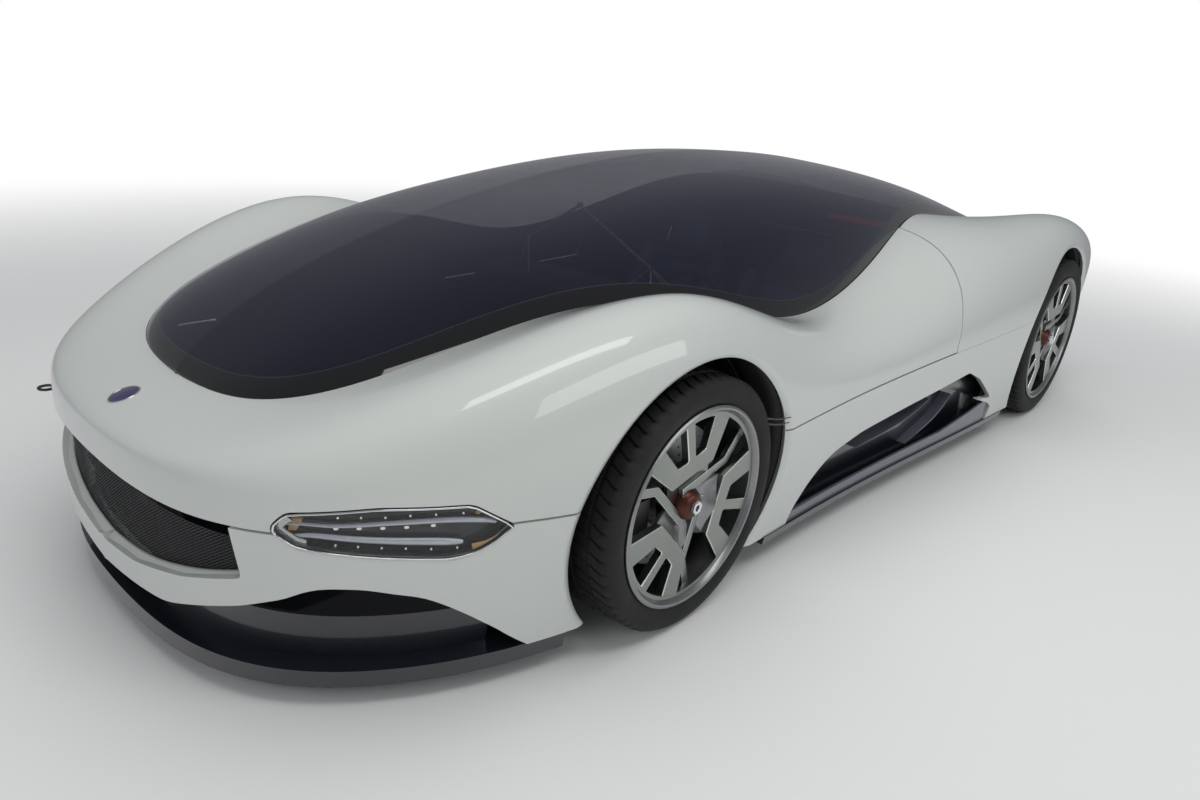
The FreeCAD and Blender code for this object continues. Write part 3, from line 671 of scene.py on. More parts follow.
def lidField(shift, keepFront):
    line = np.array(lidEdge)
    z = np.linspace(line[0, 1], line[-1, 1], 300)
    y = np.interp(z, line[:, 1], line[:, 0])
    kernel = np.hanning(31)
    y = np.convolve(np.pad(y, 15, mode="edge"), kernel / kernel.sum(), "valid")

    def field(p):
        ahead = np.interp(p[:, 2], z, y) + shift - p[:, 1]
        return ahead if keepFront else -ahead
    return field


def archField(y, z, radius):
    def field(p):
        clear = np.hypot(p[:, 1] - y, p[:, 2] - z) - radius
        return np.maximum(clear, arches["inside"] - np.abs(p[:, 0]))
    return field


def bubbleField(gap):
    def field(p):
        width = tableValue(bubbleYs, bubbleLevels, bubbleWidths, p[:, 1], p[:, 2])
        beyond = np.maximum(bubbleYs[0] - p[:, 1], p[:, 1] - bubbleYs[-1])
        return np.maximum(np.abs(p[:, 0]) - width, beyond) - gap
    return field


# lamp coordinates of points: along the lamp and up
def lampAcross(p):
    c, s = math.cos(lampPlace["slope"]), math.sin(lampPlace["slope"])
    along = (np.abs(p[:, 0]) - lampPlace["x"]) * c + (p[:, 1] - lampPlace["y"]) * s
    return np.stack([along, p[:, 2]], 1)


lampLoop = roundedLoop(outlines["lamp"], outlines["lampRadius"], 9)


def lampField(margin, inside=False):
    outline = outlineField(lampLoop)

    def field(p):
        clear = np.maximum(outline(lampAcross(p)) - margin, p[:, 1] - lampPlace["back"])
        return -clear if inside else clear
    return field


def frontField(name, margin, inside=False):
    outline = outlineField(roundedLoop(outlines[name], outlines[name + "Radius"]))

    def field(p):
        flat = np.stack([np.abs(p[:, 0]), p[:, 2]], 1)
        clear = np.maximum(outline(flat) - margin, p[:, 1] - outlines[name + "Back"])
        return -clear if inside else clear
    return field


def sillField(margin):
    outline = outlineField(roundedLoop(outlines["sill"], outlines["sillRadius"]))

    def field(p):
        return np.maximum(outline(p[:, 1:3]) - margin, panels["sillFrom"] - np.abs(p[:, 0]))
    return field


def spanField(low, high):
    def field(p):
        return np.minimum(p[:, 1] - low, high - p[:, 1])
    return field


# positive outside the diffuser opening and the exhaust holes
def tailHoles(p):
    t = tailLook
    low = np.maximum(np.abs(p[:, 0]) - t["diffuserX"], p[:, 2] - t["diffuserTop"])
    pipes = np.hypot(np.abs(p[:, 0]) - t["pipeX"], p[:, 2] - t["pipeZ"]) - t["holeR"]
    return np.maximum(np.minimum(low, pipes), t["holesFrom"] - p[:, 1])


# positive outside the lamp slots
def tailSlots(p):
    t = tailLook
    (x0, x1), (z0, z1), r = t["slotX"], t["slotZ"], t["slotRound"]
    dx = np.maximum(np.abs(np.abs(p[:, 0]) - (x0 + x1) / 2) - (x1 - x0) / 2 + r, 0)
    dz = np.maximum(np.abs(p[:, 2] - (z0 + z1) / 2) - (z1 - z0) / 2 + r, 0)
    return np.maximum(np.hypot(dx, dz) - r, t["slotFrom"] - p[:, 1])


tailLook = {"diffuserX": 0.52, "diffuserTop": 0.30, "pipeX": 0.062, "pipeZ": 0.43, "holeR": 0.049,
            "holesFrom": 2.2, "slotX": (0.30, 0.70), "slotZ": (0.61, 0.64), "slotRound": 0.012,
            "slotFrom": 2.25, "patchCols": 60}


# points and faces of the left half, with the flat tail filled in
def bodyGrid(inset=0.0, tail=True):
    grid = surface(bodyPoles(inset), bodyUs, bodyVs)
    rows, cols = grid.shape[:2]
    points = grid.reshape(-1, 3)
    faces = gridFaces(rows, cols)
    if tail:
        edge = grid[-1]
        turn = int(np.argmax(edge[:, 2]))
        side, top = edge[:turn + 1], edge[turn:][::-1]
        lift = (side[:, 2] - side[0, 2]) / (side[-1, 2] - side[0, 2])
        across = tailLook["patchCols"]
        spread = np.linspace(0, 1, across) ** 0.8
        patch = np.zeros((len(side), across, 3))
        roof = np.interp(spread * side[-1, 0], top[:, 0], top[:, 2])
        for k, share in enumerate(spread):
            patch[:, k, 0] = side[:, 0] * share
            ground = side[0, 2]
            blend = ground + (roof[k] - ground) * lift
            patch[:, k, 2] = blend if share < 1 else side[:, 2]
            patch[:, k, 1] = edge[0, 1]
        patch[:, -1] = side
        first = len(points)
        points = np.concatenate([points, patch.reshape(-1, 3)])
        faces += gridFaces(len(side), across, first)
    return points, faces


halfBody = bodyGrid()


# the part of a surface where every field is positive, cut cleanly along each zero line
def trimmed(fields, source, ease=0.03):
    points, faces = source
    keep = np.ones(len(points), bool)
    for field in fields:
        keep &= field(points) > -ease
    chosen = np.array([any(keep[list(f)]) for f in faces])
    used = sorted({i for f, ok in zip(faces, chosen) if ok for i in f})
    spot = {i: k for k, i in enumerate(used)}
    bm = bmesh.new()
    verts = [bm.verts.new(points[i]) for i in used]
    for f, ok in zip(faces, chosen):
        if ok:
            bm.faces.new([verts[spot[i]] for i in f])
    bmesh.ops.remove_doubles(bm, verts=list(bm.verts), dist=2e-5)
    for field in fields:
        cutMesh(bm, field)
    bmesh.ops.dissolve_degenerate(bm, dist=1e-5, edges=list(bm.edges))
    loose = [v for v in bm.verts if not v.link_faces]
    bmesh.ops.delete(bm, geom=loose, context="VERTS")
    return bm


# ordered points of the open edge that a field's zero line left
def rimLoop(bm, field, reach=4e-4):
    edges = [e for e in bm.edges if e.is_boundary]
    if not edges:
        return []
    co = np.array([[v.co for v in e.verts] for e in edges])
    on = np.abs(field(co.reshape(-1, 3))).reshape(-1, 2).max(1) < reach
    near = {}
    for e, ok in zip(edges, on):
        if ok:
            a, b = e.verts
            near.setdefault(a, []).append(b)
            near.setdefault(b, []).append(a)
    if not near:
        return []
    start = next((v for v, linked in near.items() if len(linked) == 1), next(iter(near)))
    order, seen = [start], {start}
    while True:
        after = [v for v in near[order[-1]] if v not in seen]
        if not after:
            break
        order.append(after[0])
        seen.add(after[0])
    return [v.co.copy() for v in order]


# turns a panel's edge inward along a wheel arch
def rollLip(bm, lip, wide, deep):
    for share in (1.0, 0.75, 0.5, 0.25, 0.1):
        cutMesh(bm, lambda p: lip(p) - wide * share, False)
    verts = [v for v in bm.verts if v.co.x > 0.5]
    near = lip(np.array([v.co for v in verts]))
    for v, gap in zip(verts, near):
        if gap < wide:
            v.co.x -= deep * (1 - max(gap, 0) / wide) ** 2


def panelPiece(name, fields, side=0, look="paint", inner="under", thick=None, source=None, lips=(),
               mark=None):
    bm = trimmed(fields, source or halfBody)
    for lip in lips:
        rollLip(bm, lip, panels["lipWide"], panels["lipDeep"])
    if mark:
        layer = bm.verts.layers.float.new("edge")
        for v in bm.verts:
            v[layer] = mark(v.co)
    if side < 0:
        for v in bm.verts:
            v.co.x = -v.co.x
        bmesh.ops.reverse_faces(bm, faces=list(bm.faces))
    for v in bm.verts:
        if abs(v.co.x) < panels["snap"]:
            v.co.x = 0
    obj = pieceFrom(name, bm, look, inner)
    smooth(obj, 60)
    if side == 0:
        modify(obj, "MIRROR", use_clip=True, merge_threshold=1e-4)
    modify(obj, "SOLIDIFY", thickness=thick or panels["skin"], offset=-1, material_offset=1)
    modify(obj, "BEVEL", width=panels["bevel"], segments=2, limit_method="ANGLE",
           angle_limit=math.radians(50))
    modify(obj, "WEIGHTED_NORMAL", keep_sharp=True, weight=60)
    return obj


front, rear = arches["front"], arches["rear"]
gap = panels["gap"]
archCuts = [archField(*front), archField(*rear)]
noseCuts = [seamField(0, False), spanField(panels["frontEnd"], front[0]), archField(*front),
            lampField(0.002), frontField("grille", 0), frontField("chin", 0)]
sideCuts = [seamField(0, False), spanField(front[0], rear[0]), sillField(0)] + archCuts
tailCuts = [seamField(0, False), spanField(rear[0], panels["rearEnd"]), archField(*rear), tailHoles]
lidCuts = [seamField(gap, True), lidField(0, True), bubbleField(gap / 2), archField(*front), lampField(0.004)]
clamCuts = [seamField(0.001, True), lidField(gap, False), bubbleField(gap), archField(*rear), tailSlots]
for name, cuts, side, lips, body, node in (
        ("hoodAndDoorShell", lidCuts, 0, archCuts[:1], "lid", "lid_shell"),
        ("rearBodyShell", clamCuts, 0, archCuts[1:], "root", "rear_clamshell"),
        ("noseBumper", noseCuts, 0, archCuts[:1], "root", "front_bumper"),
        ("flankPanelLeft", sideCuts, 1, archCuts, "root", "side_panel_left"),
        ("flankPanelRight", sideCuts, -1, archCuts, "root", "side_panel_right"),
        ("tailBumper", tailCuts, 0, archCuts[1:], "root", "rear_bumper")):
    obj = panelPiece(name, cuts, side, lips=lips)
    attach(obj, body)
    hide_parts(node)
print("body panels done")


# Glass bubble, its foot a little below the body's face
glassLook = {"rows": 230, "cols": 90, "under": 0.024, "thick": 0.006, "footSteps": 16}


# height of the body's upper face over a place
def deckHeight(poles):
    us = np.linspace(0, 1, 500)
    grid = surface(poles, us, np.linspace(0.45, 1, 400))
    xs = np.linspace(0, 0.82, 200)
    table = np.zeros((len(us), len(xs)))
    for i, section in enumerate(grid):
        top = int(np.argmax(section[:, 2]))
        if section[-1, 2] > section[top, 2] - 0.02:
            top = 0
        x, z = section[top:, 0][::-1], section[top:, 2][::-1]
        table[i] = np.interp(xs, np.maximum.accumulate(x), z)
    ys = grid[:, 0, 1]

    def height(p):
        return tableValue(ys, xs, table, p[:, 1], np.abs(p[:, 0]))
    return height


deckAt = deckHeight(bodyPoles())
glassUs = evenParams(surface(bubblePoles(), dense, np.array([0.35]))[:, 0, :], glassLook["rows"])
glassVs = evenParams(surface(bubblePoles(), np.array([0.5]), dense)[0], glassLook["cols"])
glassGrid = surface(bubblePoles(), glassUs, glassVs)
glassSource = (glassGrid.reshape(-1, 3), gridFaces(*glassGrid.shape[:2]))
footEdge = trimmed([lambda p: p[:, 2] - deckAt(p)], glassSource)
footLine = rimLoop(footEdge, lambda p: p[:, 2] - deckAt(p), 1e-3)
footEdge.free()
footSteps = glassLook["footSteps"]
footTree = kdtree.KDTree(footSteps * len(footLine))
for k, (a, b) in enumerate(zip(footLine, footLine[1:])):
    for j in range(footSteps):
        footTree.insert(a.lerp(b, j / footSteps), footSteps * k + j)
footTree.balance()


# distance from the foot line, none below the body's face
def footMark(co):
    if co.z < deckAt(np.array([[abs(co.x), co.y, 0]]))[0]:
        return 0
    return footTree.find(co)[2]


glass = panelPiece("canopyBubble", [lambda p: p[:, 2] - deckAt(p) + glassLook["under"]], 0, "glass",
                   "glassBack", glassLook["thick"], glassSource, mark=footMark)
print("glass foot", len(footLine))
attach(glass, "lid")
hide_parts("canopy_glass")
print("glass done")

# Headlamp covers and bezels


def endFaces(rows, cols):
    return [tuple(range(cols))[::-1], tuple(range((rows - 1) * cols, rows * cols))]


# round bar along a path
def tubeAlong(points, radius, sides=8, closed=False):
    path = [Vector(p) for p in points]
    count = len(path)
    made = []
    side = None
    for i, here in enumerate(path):
        before = path[(i - 1) % count] if closed or i else here
        after = path[(i + 1) % count] if closed or i < count - 1 else here
        along = (after - before).normalized()
        if side is None:
            side = along.orthogonal().normalized()
        side = (side - along * side.dot(along)).normalized()
        up = along.cross(side)
        size = radius(i / (count - 1)) if callable(radius) else radius
        for k in range(sides):
            turn = 2 * math.pi * k / sides
            made.append(here + (side * math.cos(turn) + up * math.sin(turn)) * size)
    faces = gridFaces(count, sides, 0, closed, True, True)
    if not closed:
        faces += endFaces(count, sides)
    return meshOf("bar", made, faces)


def tubePiece(name, paths, radius, look, sides=8, closed=False, mirror=False):
    parts = [tubeAlong(path, radius, sides, closed) for path in paths]
    if mirror:
        parts += [flipX(part) for part in parts]
    return smooth(pieceOf(name, joinMeshes(name, parts), look), 50)


# evenly spread points on a curve through the given ones
def smoothPath(points, count):
    p = np.array(points, float)
    p = np.vstack([2 * p[0] - p[1], p, 2 * p[-1] - p[-2]])
    made = []
    for i in range(1, len(p) - 2):
        for t in np.linspace(0, 1, 24, endpoint=i == len(p) - 3):
            made.append(0.5 * (2 * p[i] + (p[i + 1] - p[i - 1]) * t
                               + (2 * p[i - 1] - 5 * p[i] + 4 * p[i + 1] - p[i + 2]) * t * t
                               + (3 * p[i] - p[i - 1] - 3 * p[i + 1] + p[i + 2]) * t ** 3))
    made = np.array(made)
    share = evenParams(made, count)
    spot = np.linspace(0, 1, len(made))
    return [tuple(np.interp(v, spot, made[:, k]) for k in range(made.shape[1])) for v in share]


# point of the left headlamp's skin, or of the surface that much below it
def onLamp(along, z, inset=0.0):
    c, s = math.cos(lampPlace["slope"]), math.sin(lampPlace["slope"])
    low, high = -0.30, 0.15
    for _ in range(26):
        out = (low + high) / 2
        x = lampPlace["x"] + along * c + out * s
        y = lampPlace["y"] + along * s - out * c
        if y < noseY(x, z, inset):
            high = out
        else:
            low = out
    return Vector((x, y, z))


# bar of oval section whose height and depth follow the path
def ovalSweep(path, tall, deep, sides=14):
    count = len(path)
    points = []
    for i, here in enumerate(path):
        along = (path[min(i + 1, count - 1)] - path[max(i - 1, 0)]).normalized()
        up = (Vector((0, 0, 1)) - along * along.z).normalized()
        out = along.cross(up)
        t = i / (count - 1)
        for k in range(sides):
            turn = 2 * math.pi * k / sides
            points.append(here + up * (math.sin(turn) * tall(t) / 2)
                          + out * (math.cos(turn) * deep(t) / 2))
    faces = gridFaces(count, sides, 0, False, True, True)
    return meshOf("bar", points, faces + endFaces(count, sides))


# small lens on a ring, lying on the lamp's inner surface
def domeMesh(radius, height, along, z, inset, stretch=1.0):
    profile = [(0.0001, height), (radius * 0.5, height * 0.85), (radius * 0.85, height * 0.45),
               (radius, 0), (radius * 1.35, 0.0003), (radius * 1.4, -0.004), (0.0001, -0.004)]
    mesh = turnedMesh("dome", profile[::-1], 14, False)
    mesh.transform(Matrix.Scale(stretch, 4, (1, 0, 0)))
    here = onLamp(along, z, inset)
    across = (onLamp(along + 0.004, z, inset) - onLamp(along - 0.004, z, inset)).normalized()
    up = (onLamp(along, z + 0.003, inset) - onLamp(along, z - 0.003, inset)).normalized()
    out = across.cross(up)
    mesh.transform(Matrix((across, up, out)).transposed().to_4x4())
    mesh.transform(Matrix.Translation(here))
    return mesh


# profile of (radius, height) turned about Z
def turnedMesh(name, profile, steps, closed=True):
    points = [(r * math.cos(2 * math.pi * k / steps), r * math.sin(2 * math.pi * k / steps), h)
              for k in range(steps) for r, h in profile]
    return meshOf(name, points, gridFaces(steps, len(profile), 0, True, closed))


def bothSides(name, meshes, look, angle=40):
    whole = list(meshes) + [flipX(mesh) for mesh in meshes]
    return smooth(pieceOf(name, joinMeshes(name, whole), look), angle)


# Places along the lamp and heights, for the left side
lampLook = {
    "upper": {"path": [(-0.196, 0.456), (-0.157, 0.460), (-0.096, 0.459), (-0.002, 0.464), (0.084, 0.465),
                       (0.138, 0.462), (0.188, 0.454), (0.210, 0.446)],
              "tall": (0.005, 0.014), "deep": 0.009},
    "lower": {"path": [(-0.188, 0.430), (-0.165, 0.434), (-0.133, 0.436), (-0.060, 0.430), (0.011, 0.424),
                       (0.084, 0.417), (0.145, 0.409)],
              "tall": (0.009, 0.019), "deep": 0.010},
    "barInset": 0.019, "backInset": 0.030,
    "topDots": [(-0.094, 0.470), (-0.050, 0.471), (-0.004, 0.471), (0.043, 0.473), (0.092, 0.472),
                (0.145, 0.470)],
    "middleDots": [(-0.098, 0.447), (-0.054, 0.448), (-0.009, 0.448), (0.036, 0.448), (0.087, 0.448)],
    "lowDots": [(-0.100, 0.409), (-0.057, 0.406), (-0.012, 0.402), (0.034, 0.398), (0.083, 0.392),
                (0.134, 0.389)],
    "amberInner": [(-0.183, 0.466), (-0.158, 0.469), (-0.172, 0.443), (-0.189, 0.441)],
    "amberOuter": [(0.164, 0.394), (0.198, 0.402), (0.240, 0.427)],
    "amberDots": [(-0.163, 0.412), (-0.153, 0.411), (-0.143, 0.410), (0.174, 0.468)],
    "endTall": 0.55, "endDeep": 0.4, "endPower": 9,
}


def lampBar(spec):
    path = [onLamp(along, z, lampLook["barInset"]) for along, z in smoothPath(spec["path"], 60)]
    low, high = spec["tall"]
    power = lampLook["endPower"]
    return ovalSweep(path,
                     lambda t: (low + (high - low) * t) * (1 - lampLook["endTall"] * abs(2 * t - 1) ** power),
                     lambda t: spec["deep"] * (1 - lampLook["endDeep"] * abs(2 * t - 1) ** power))


# flat block on the lamp's inner surface
def lampPlate(corners, inset, thick):
    loop = roundedLoop(corners, 0.004, 4)
    front = [onLamp(a, z, inset) for a, z in loop]
    rear = [onLamp(a, z, inset + thick) for a, z in loop]
    count = len(loop)
    faces = [tuple(range(count)), tuple(range(count, 2 * count))[::-1]]
    faces += [(k, k + count, (k + 1) % count + count, (k + 1) % count) for k in range(count)]
    mesh = meshOf("plate", front + rear, faces)
    bm = bmesh.new()
    bm.from_mesh(mesh)
    bmesh.ops.recalc_face_normals(bm, faces=list(bm.faces))
    bm.to_mesh(mesh)
    bm.free()
    return mesh


lens = panelPiece("lampCovers", [lampField(-0.0025, True)], 0, "lamp", "lamp", 0.004)
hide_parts("headlamp_lenses")
rimEdge = trimmed([lampField(-0.001, True)], halfBody)
lampRim = rimLoop(rimEdge, lampField(-0.001, True))[::2]
rimEdge.free()
bezel = tubePiece("lampBezels", [lampRim], 0.0022, "chrome", 8, True, True)
backInset = lampLook["backInset"]
insert = panelPiece("lampInserts", [lampField(-0.003, True)], 0, "gloss", "gloss", 0.004,
                    bodyGrid(backInset, False))
wallPoints = []
for p in lampRim:
    along, z = lampAcross(np.array([p]))[0]
    wallPoints += [onLamp(along * 0.992, z, 0.005), onLamp(along * 0.992, z, backInset + 0.003)]
wallFaces = [(2 * k, (2 * k + 2) % len(wallPoints), (2 * k + 3) % len(wallPoints), 2 * k + 1)
             for k in range(len(lampRim))]
walls = bothSides("lampWalls", [meshOf("wall", wallPoints, wallFaces)], "gloss")
modify(walls, "SOLIDIFY", thickness=0.002, offset=0)
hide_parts("headlamp_bowls")
bars = bothSides("lampLightBars", [lampBar(lampLook["upper"]), lampBar(lampLook["lower"])], "blade", 60)
dotInset = backInset - 0.002
smallDots = lampLook["topDots"] + lampLook["lowDots"]
dots = [domeMesh(0.0014, 0.0015, a, z, dotInset) for a, z in smallDots]
dots += [domeMesh(0.0019, 0.0018, a, z, dotInset, 1.9) for a, z in lampLook["middleDots"]]
leds = bothSides("lampDiodes", dots, "led", 50)
amberStrip = ovalSweep([onLamp(a, z, 0.016) for a, z in smoothPath(lampLook["amberOuter"], 30)],
                       lambda t: 0.016 - 0.011 * t, lambda t: 0.006)
ambers = [lampPlate(lampLook["amberInner"], backInset - 0.008, 0.008), amberStrip]
ambers += [domeMesh(0.003, 0.002, a, z, dotInset, 1.3) for a, z in lampLook["amberDots"]]
turnLamps = bothSides("lampTurnLights", ambers, "amber", 30)


def capSlant(p):
    return -0.150 - lampAcross(p)[:, 0] - 1.5 * np.maximum(p[:, 2] - 0.455, 0)


capCuts = [lampField(-0.0035, True), lampField(-0.017), capSlant]
cap = panelPiece("lampEndCaps", capCuts, 0, "chrome", "chrome", 0.003, bodyGrid(0.009, False))
for obj in (lens, bezel, insert, walls, bars, leds, turnLamps, cap):
    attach(obj, "root")
print("headlamps done", len(lampRim))

# Wheels, one table per axle; angles run from the tail upward on the left side
wheelSets = {
    "front": {"centre": (0.805, -1.283, 0.338), "width": 0.265, "grow": 1.0, "lift": 0.0, "turn": 104,
              "tyreR": 0.338},
    "rear": {"centre": (0.835, 1.367, 0.367), "width": 0.335, "grow": 1.074, "lift": 0.019, "turn": 95,
             "tyreR": 0.367},
}
rimLook = {"face": 0.014, "armAngles": (0, -120, 120), "rimR": 0.258, "rimHalfAngle": 39,
           "base": (0.080, 0.096),
           "windows": [(0.014, 0.142), (0.054, 0.145), (0.100, 0.228), (0.016, 0.248)], "round": 0.008,
           "plate": 0.024, "armDrop": 0.0005, "chamfer": 0.0022, "chamferZ": (0.2, 0.95),
           "dishHub": 0.040, "dishDeep": 0.034, "dishGap": (0.084, 0.018), "dishThick": 0.009,
           "bar": [(0.029, -0.042), (0.117, 0.110), (0.212, 0.154)], "barWidth": 0.023, "barTop": 0.018,
           "barThick": 0.014, "ring": (0.238, 0.262), "ringDeep": 0.020, "nutR": 0.019, "boreR": 0.008,
           "cone": [(0.001, -0.042), (0.046, -0.040), (0.044, -0.024), (0.036, -0.008), (0.027, -0.002),
                    (0.024, -0.001), (0.001, -0.001)]}
# Barrel profile: radius, then height from the outer or the inner lip
barrelLook = {"outer": [(0.262, -0.001), (0.2675, -0.004), (0.268, -0.008), (0.2655, -0.011),
                        (0.254, -0.011)],
              "inner": [(0.254, 0.011), (0.268, 0.011), (0.268, 0.002), (0.246, 0.002)],
              "back": [(0.246, -0.03), (0.249, -0.012), (0.257, -0.002)]}


# 2D outlines with holes, extruded between two heights and edged
def flatMesh(name, loops, low, high, bevel=0.0012, rounds=1):
    curve = bpy.data.curves.new(name, "CURVE")
    curve.dimensions = "2D"
    curve.fill_mode = "BOTH"
    curve.extrude = (high - low) / 2 - bevel
    curve.bevel_depth = bevel
    curve.bevel_resolution = rounds
    curve.offset = -bevel
    for loop in loops:
        spline = curve.splines.new("POLY")
        spline.points.add(len(loop) - 1)
        for point, (x, y) in zip(spline.points, loop):
            point.co = (x, y, 0, 1)
        spline.use_cyclic_u = True
    filledCurve = holder(curve)
    bpy.context.view_layer.update()
    mesh = evaluated(filledCurve)
    bpy.data.curves.remove(curve)
    mesh.transform(Matrix.Translation((0, 0, (low + high) / 2)))
    bm = bmesh.new()
    bm.from_mesh(mesh)
    bmesh.ops.remove_doubles(bm, verts=list(bm.verts), dist=1e-6)
    bm.to_mesh(mesh)
    bm.free()
    return mesh


def paintFaces(mesh, index):
    mesh.polygons.foreach_set("material_index", [index] * len(mesh.polygons))
    return mesh


def circle(radius, count, x=0, y=0):
    return [(x + radius * math.cos(2 * math.pi * k / count), y + radius * math.sin(2 * math.pi * k / count))
            for k in range(count)]


# angle and radius about Z for the lathe lines
def addTurnedUv(mesh):
    layer = mesh.uv_layers.new(name="turned")
    for loop, uv in zip(mesh.loops, layer.data):
        x, y = mesh.vertices[loop.vertex_index].co.xy
        uv.uv = (math.atan2(y, x) / (2 * math.pi), math.hypot(x, y))
    return mesh


def armLoops(grow):
    r = rimLook
    half = math.radians(r["rimHalfAngle"])
    arc = [(r["rimR"] * math.sin(half - 2 * half * k / 16), r["rimR"] * math.cos(half - 2 * half * k / 16))
           for k in range(17)]
    baseX, baseY = r["base"]
    outer = roundedLoop([(-baseX, baseY), (baseX, baseY)] + arc, [0.004, 0.004] + [0] * 17, 4)
    loops = [outer]
    for side in (1, -1):
        window = roundedLoop([(side * x, y) for x, y in r["windows"]], r["round"], 5)
        loops.append(window)
    return [[(x * grow, y * grow) for x, y in loop] for loop in loops]


def barLoop(grow):
    r = rimLook
    path = [Vector(p) for p in r["bar"]]
    half = r["barWidth"] / 2
    left, right = [], []
    for i, here in enumerate(path):
        first = (here - path[i - 1]).normalized() if i else (path[1] - here).normalized()
        second = (path[i + 1] - here).normalized() if i < len(path) - 1 else first
        mean = (first + second).normalized()
        across = Vector((-mean.y, mean.x)) * (half / max(mean.dot(first), 0.4))
        left.append(here + across)
        right.append(here - across)
    return [tuple(p * grow) for p in left + right[::-1]]


# hollowed middle between the three arms
def dishMesh(grow):
    r = rimLook
    points = []
    steps, rings = 180, 10
    gapR, gapDeep = r["dishGap"]
    reach = math.atan2(*r["base"])
    for k in range(steps):
        angle = 2 * math.pi * k / steps
        off = abs((math.degrees(angle) - 90 + 60) % 120 - 60)
        share = min(1, math.radians(off) / reach)
        chord = r["base"][1] / math.cos(min(math.radians(off), reach))
        beyond = max(0, (math.radians(off) - reach) / (math.pi / 3 - reach))
        edge = chord * (1 - beyond) + gapR * beyond
        rise = -gapDeep * (3 * share * share - 2 * share ** 3) if beyond <= 0 else -gapDeep
        for j in range(rings + 1):
            t = j / rings
            radius = r["dishHub"] + (edge - r["dishHub"]) * t
            depth = -r["dishDeep"] + (rise + r["dishDeep"]) * t ** 2.2
            points.append((radius * grow * math.cos(angle), radius * grow * math.sin(angle), depth))
    mesh = meshOf("dish", points, gridFaces(steps, rings + 1, 0, True, False, True))
    bm = bmesh.new()
    bm.from_mesh(mesh)
    low = bmesh.ops.duplicate(bm, geom=list(bm.faces) + list(bm.verts) + list(bm.edges))["geom"]
    for item in low:
        if isinstance(item, bmesh.types.BMVert):
            item.co.z -= r["dishThick"]
    bmesh.ops.reverse_faces(bm, faces=[item for item in low if isinstance(item, bmesh.types.BMFace)])
    outside = [e for e in bm.edges if e.is_boundary and min(v.co.xy.length for v in e.verts) > 0.06]
    bmesh.ops.bridge_loops(bm, edges=outside)
    bm.to_mesh(mesh)
    bm.free()
    return mesh


# whole wheel about Z with its face at zero height; the numbers are places in wheelLooks
def rimMesh(size):
    r, grow, lift = rimLook, size["grow"], size["lift"]
    half = size["width"] / 2
    parts = []
    for angle in r["armAngles"]:
        turn = Matrix.Rotation(math.radians(angle), 4, "Z")
        arm = flatMesh("arm", armLoops(grow), -r["plate"], -r["armDrop"], r["chamfer"], 0)
        bar = flatMesh("bar", [barLoop(grow)], -r["barTop"] - r["barThick"], -r["barTop"])
        # the bar lies on the arm's left-hand side
        bar.transform(Matrix.Scale(-1, 4, (1, 0, 0)))
        bar.flip_normals()
        for mesh in (arm, bar):
            paintFaces(mesh, 0)
            # slanted chamfer faces take the bright finish, a painted highlight
            for face in mesh.polygons:
                if r["chamferZ"][0] < face.normal.z < r["chamferZ"][1]:
                    face.material_index = 4
            mesh.transform(turn)
            parts.append(mesh)
    parts.append(paintFaces(dishMesh(grow), 1))
    low, high = (v + lift for v in r["ring"])
    ring = [(low, -r["ringDeep"]), (low, -0.001), (low + 0.001, 0), (high, 0), (high, -r["ringDeep"])]
    parts.append(paintFaces(turnedMesh("ring", ring, 180), 0))
    top = r["face"]
    barrel = [(a, top + h) for a, h in barrelLook["outer"]]
    barrel += [(a, top - 2 * half + h) for a, h in barrelLook["inner"]]
    barrel += [(a, top + h) for a, h in barrelLook["back"]]
    parts.append(paintFaces(turnedMesh("barrel", [(a + lift, h) for a, h in barrel][::-1], 144), 1))
    # the hub cone takes the dark brown painted reflection
    parts.append(paintFaces(turnedMesh("cone", r["cone"], 64), 2))
    nut = flatMesh("nut", [circle(r["nutR"], 6), circle(r["boreR"], 24)], -0.006, 0.0095, 0.002)
    parts.append(paintFaces(nut, 3))
    return addTurnedUv(joinMeshes("rim", parts))


# the last finish is the painted highlight on the chamfers
wheelLooks = ("machined", "satin", "brownPaintedReflection", "chrome", "chamfer")
treadLook = {"pitches": 60, "slot": [(0.0, 0), (0.05, 1), (0.20, 1), (0.25, 0), (0.62, 0)], "slotDeep": 0.005,
             "slant": 0.32, "grooveDeep": 0.007, "grooveWide": 0.011, "grooves": (0.17, 0.39, 0.61, 0.83),
             "grooveSide": 0.006, "shoulder": 0.028, "shoulderSlot": 0.003, "crown": 0.0035,
             "wall": [(0.2545, 0.012), (0.266, 0.012), (0.277, 0.004), (0.290, 0.0005), (0.302, 0),
                      (0.316, 0.002), (0.327, 0.008), (0.3345, 0.018)]}


# how far the slots cut in at a place across the tread
def slotShare(share):
    if share < 0.14 or share > 0.86:
        return 1
    return 0.55 if 0.2 < share < 0.36 or 0.64 < share < 0.8 else 0


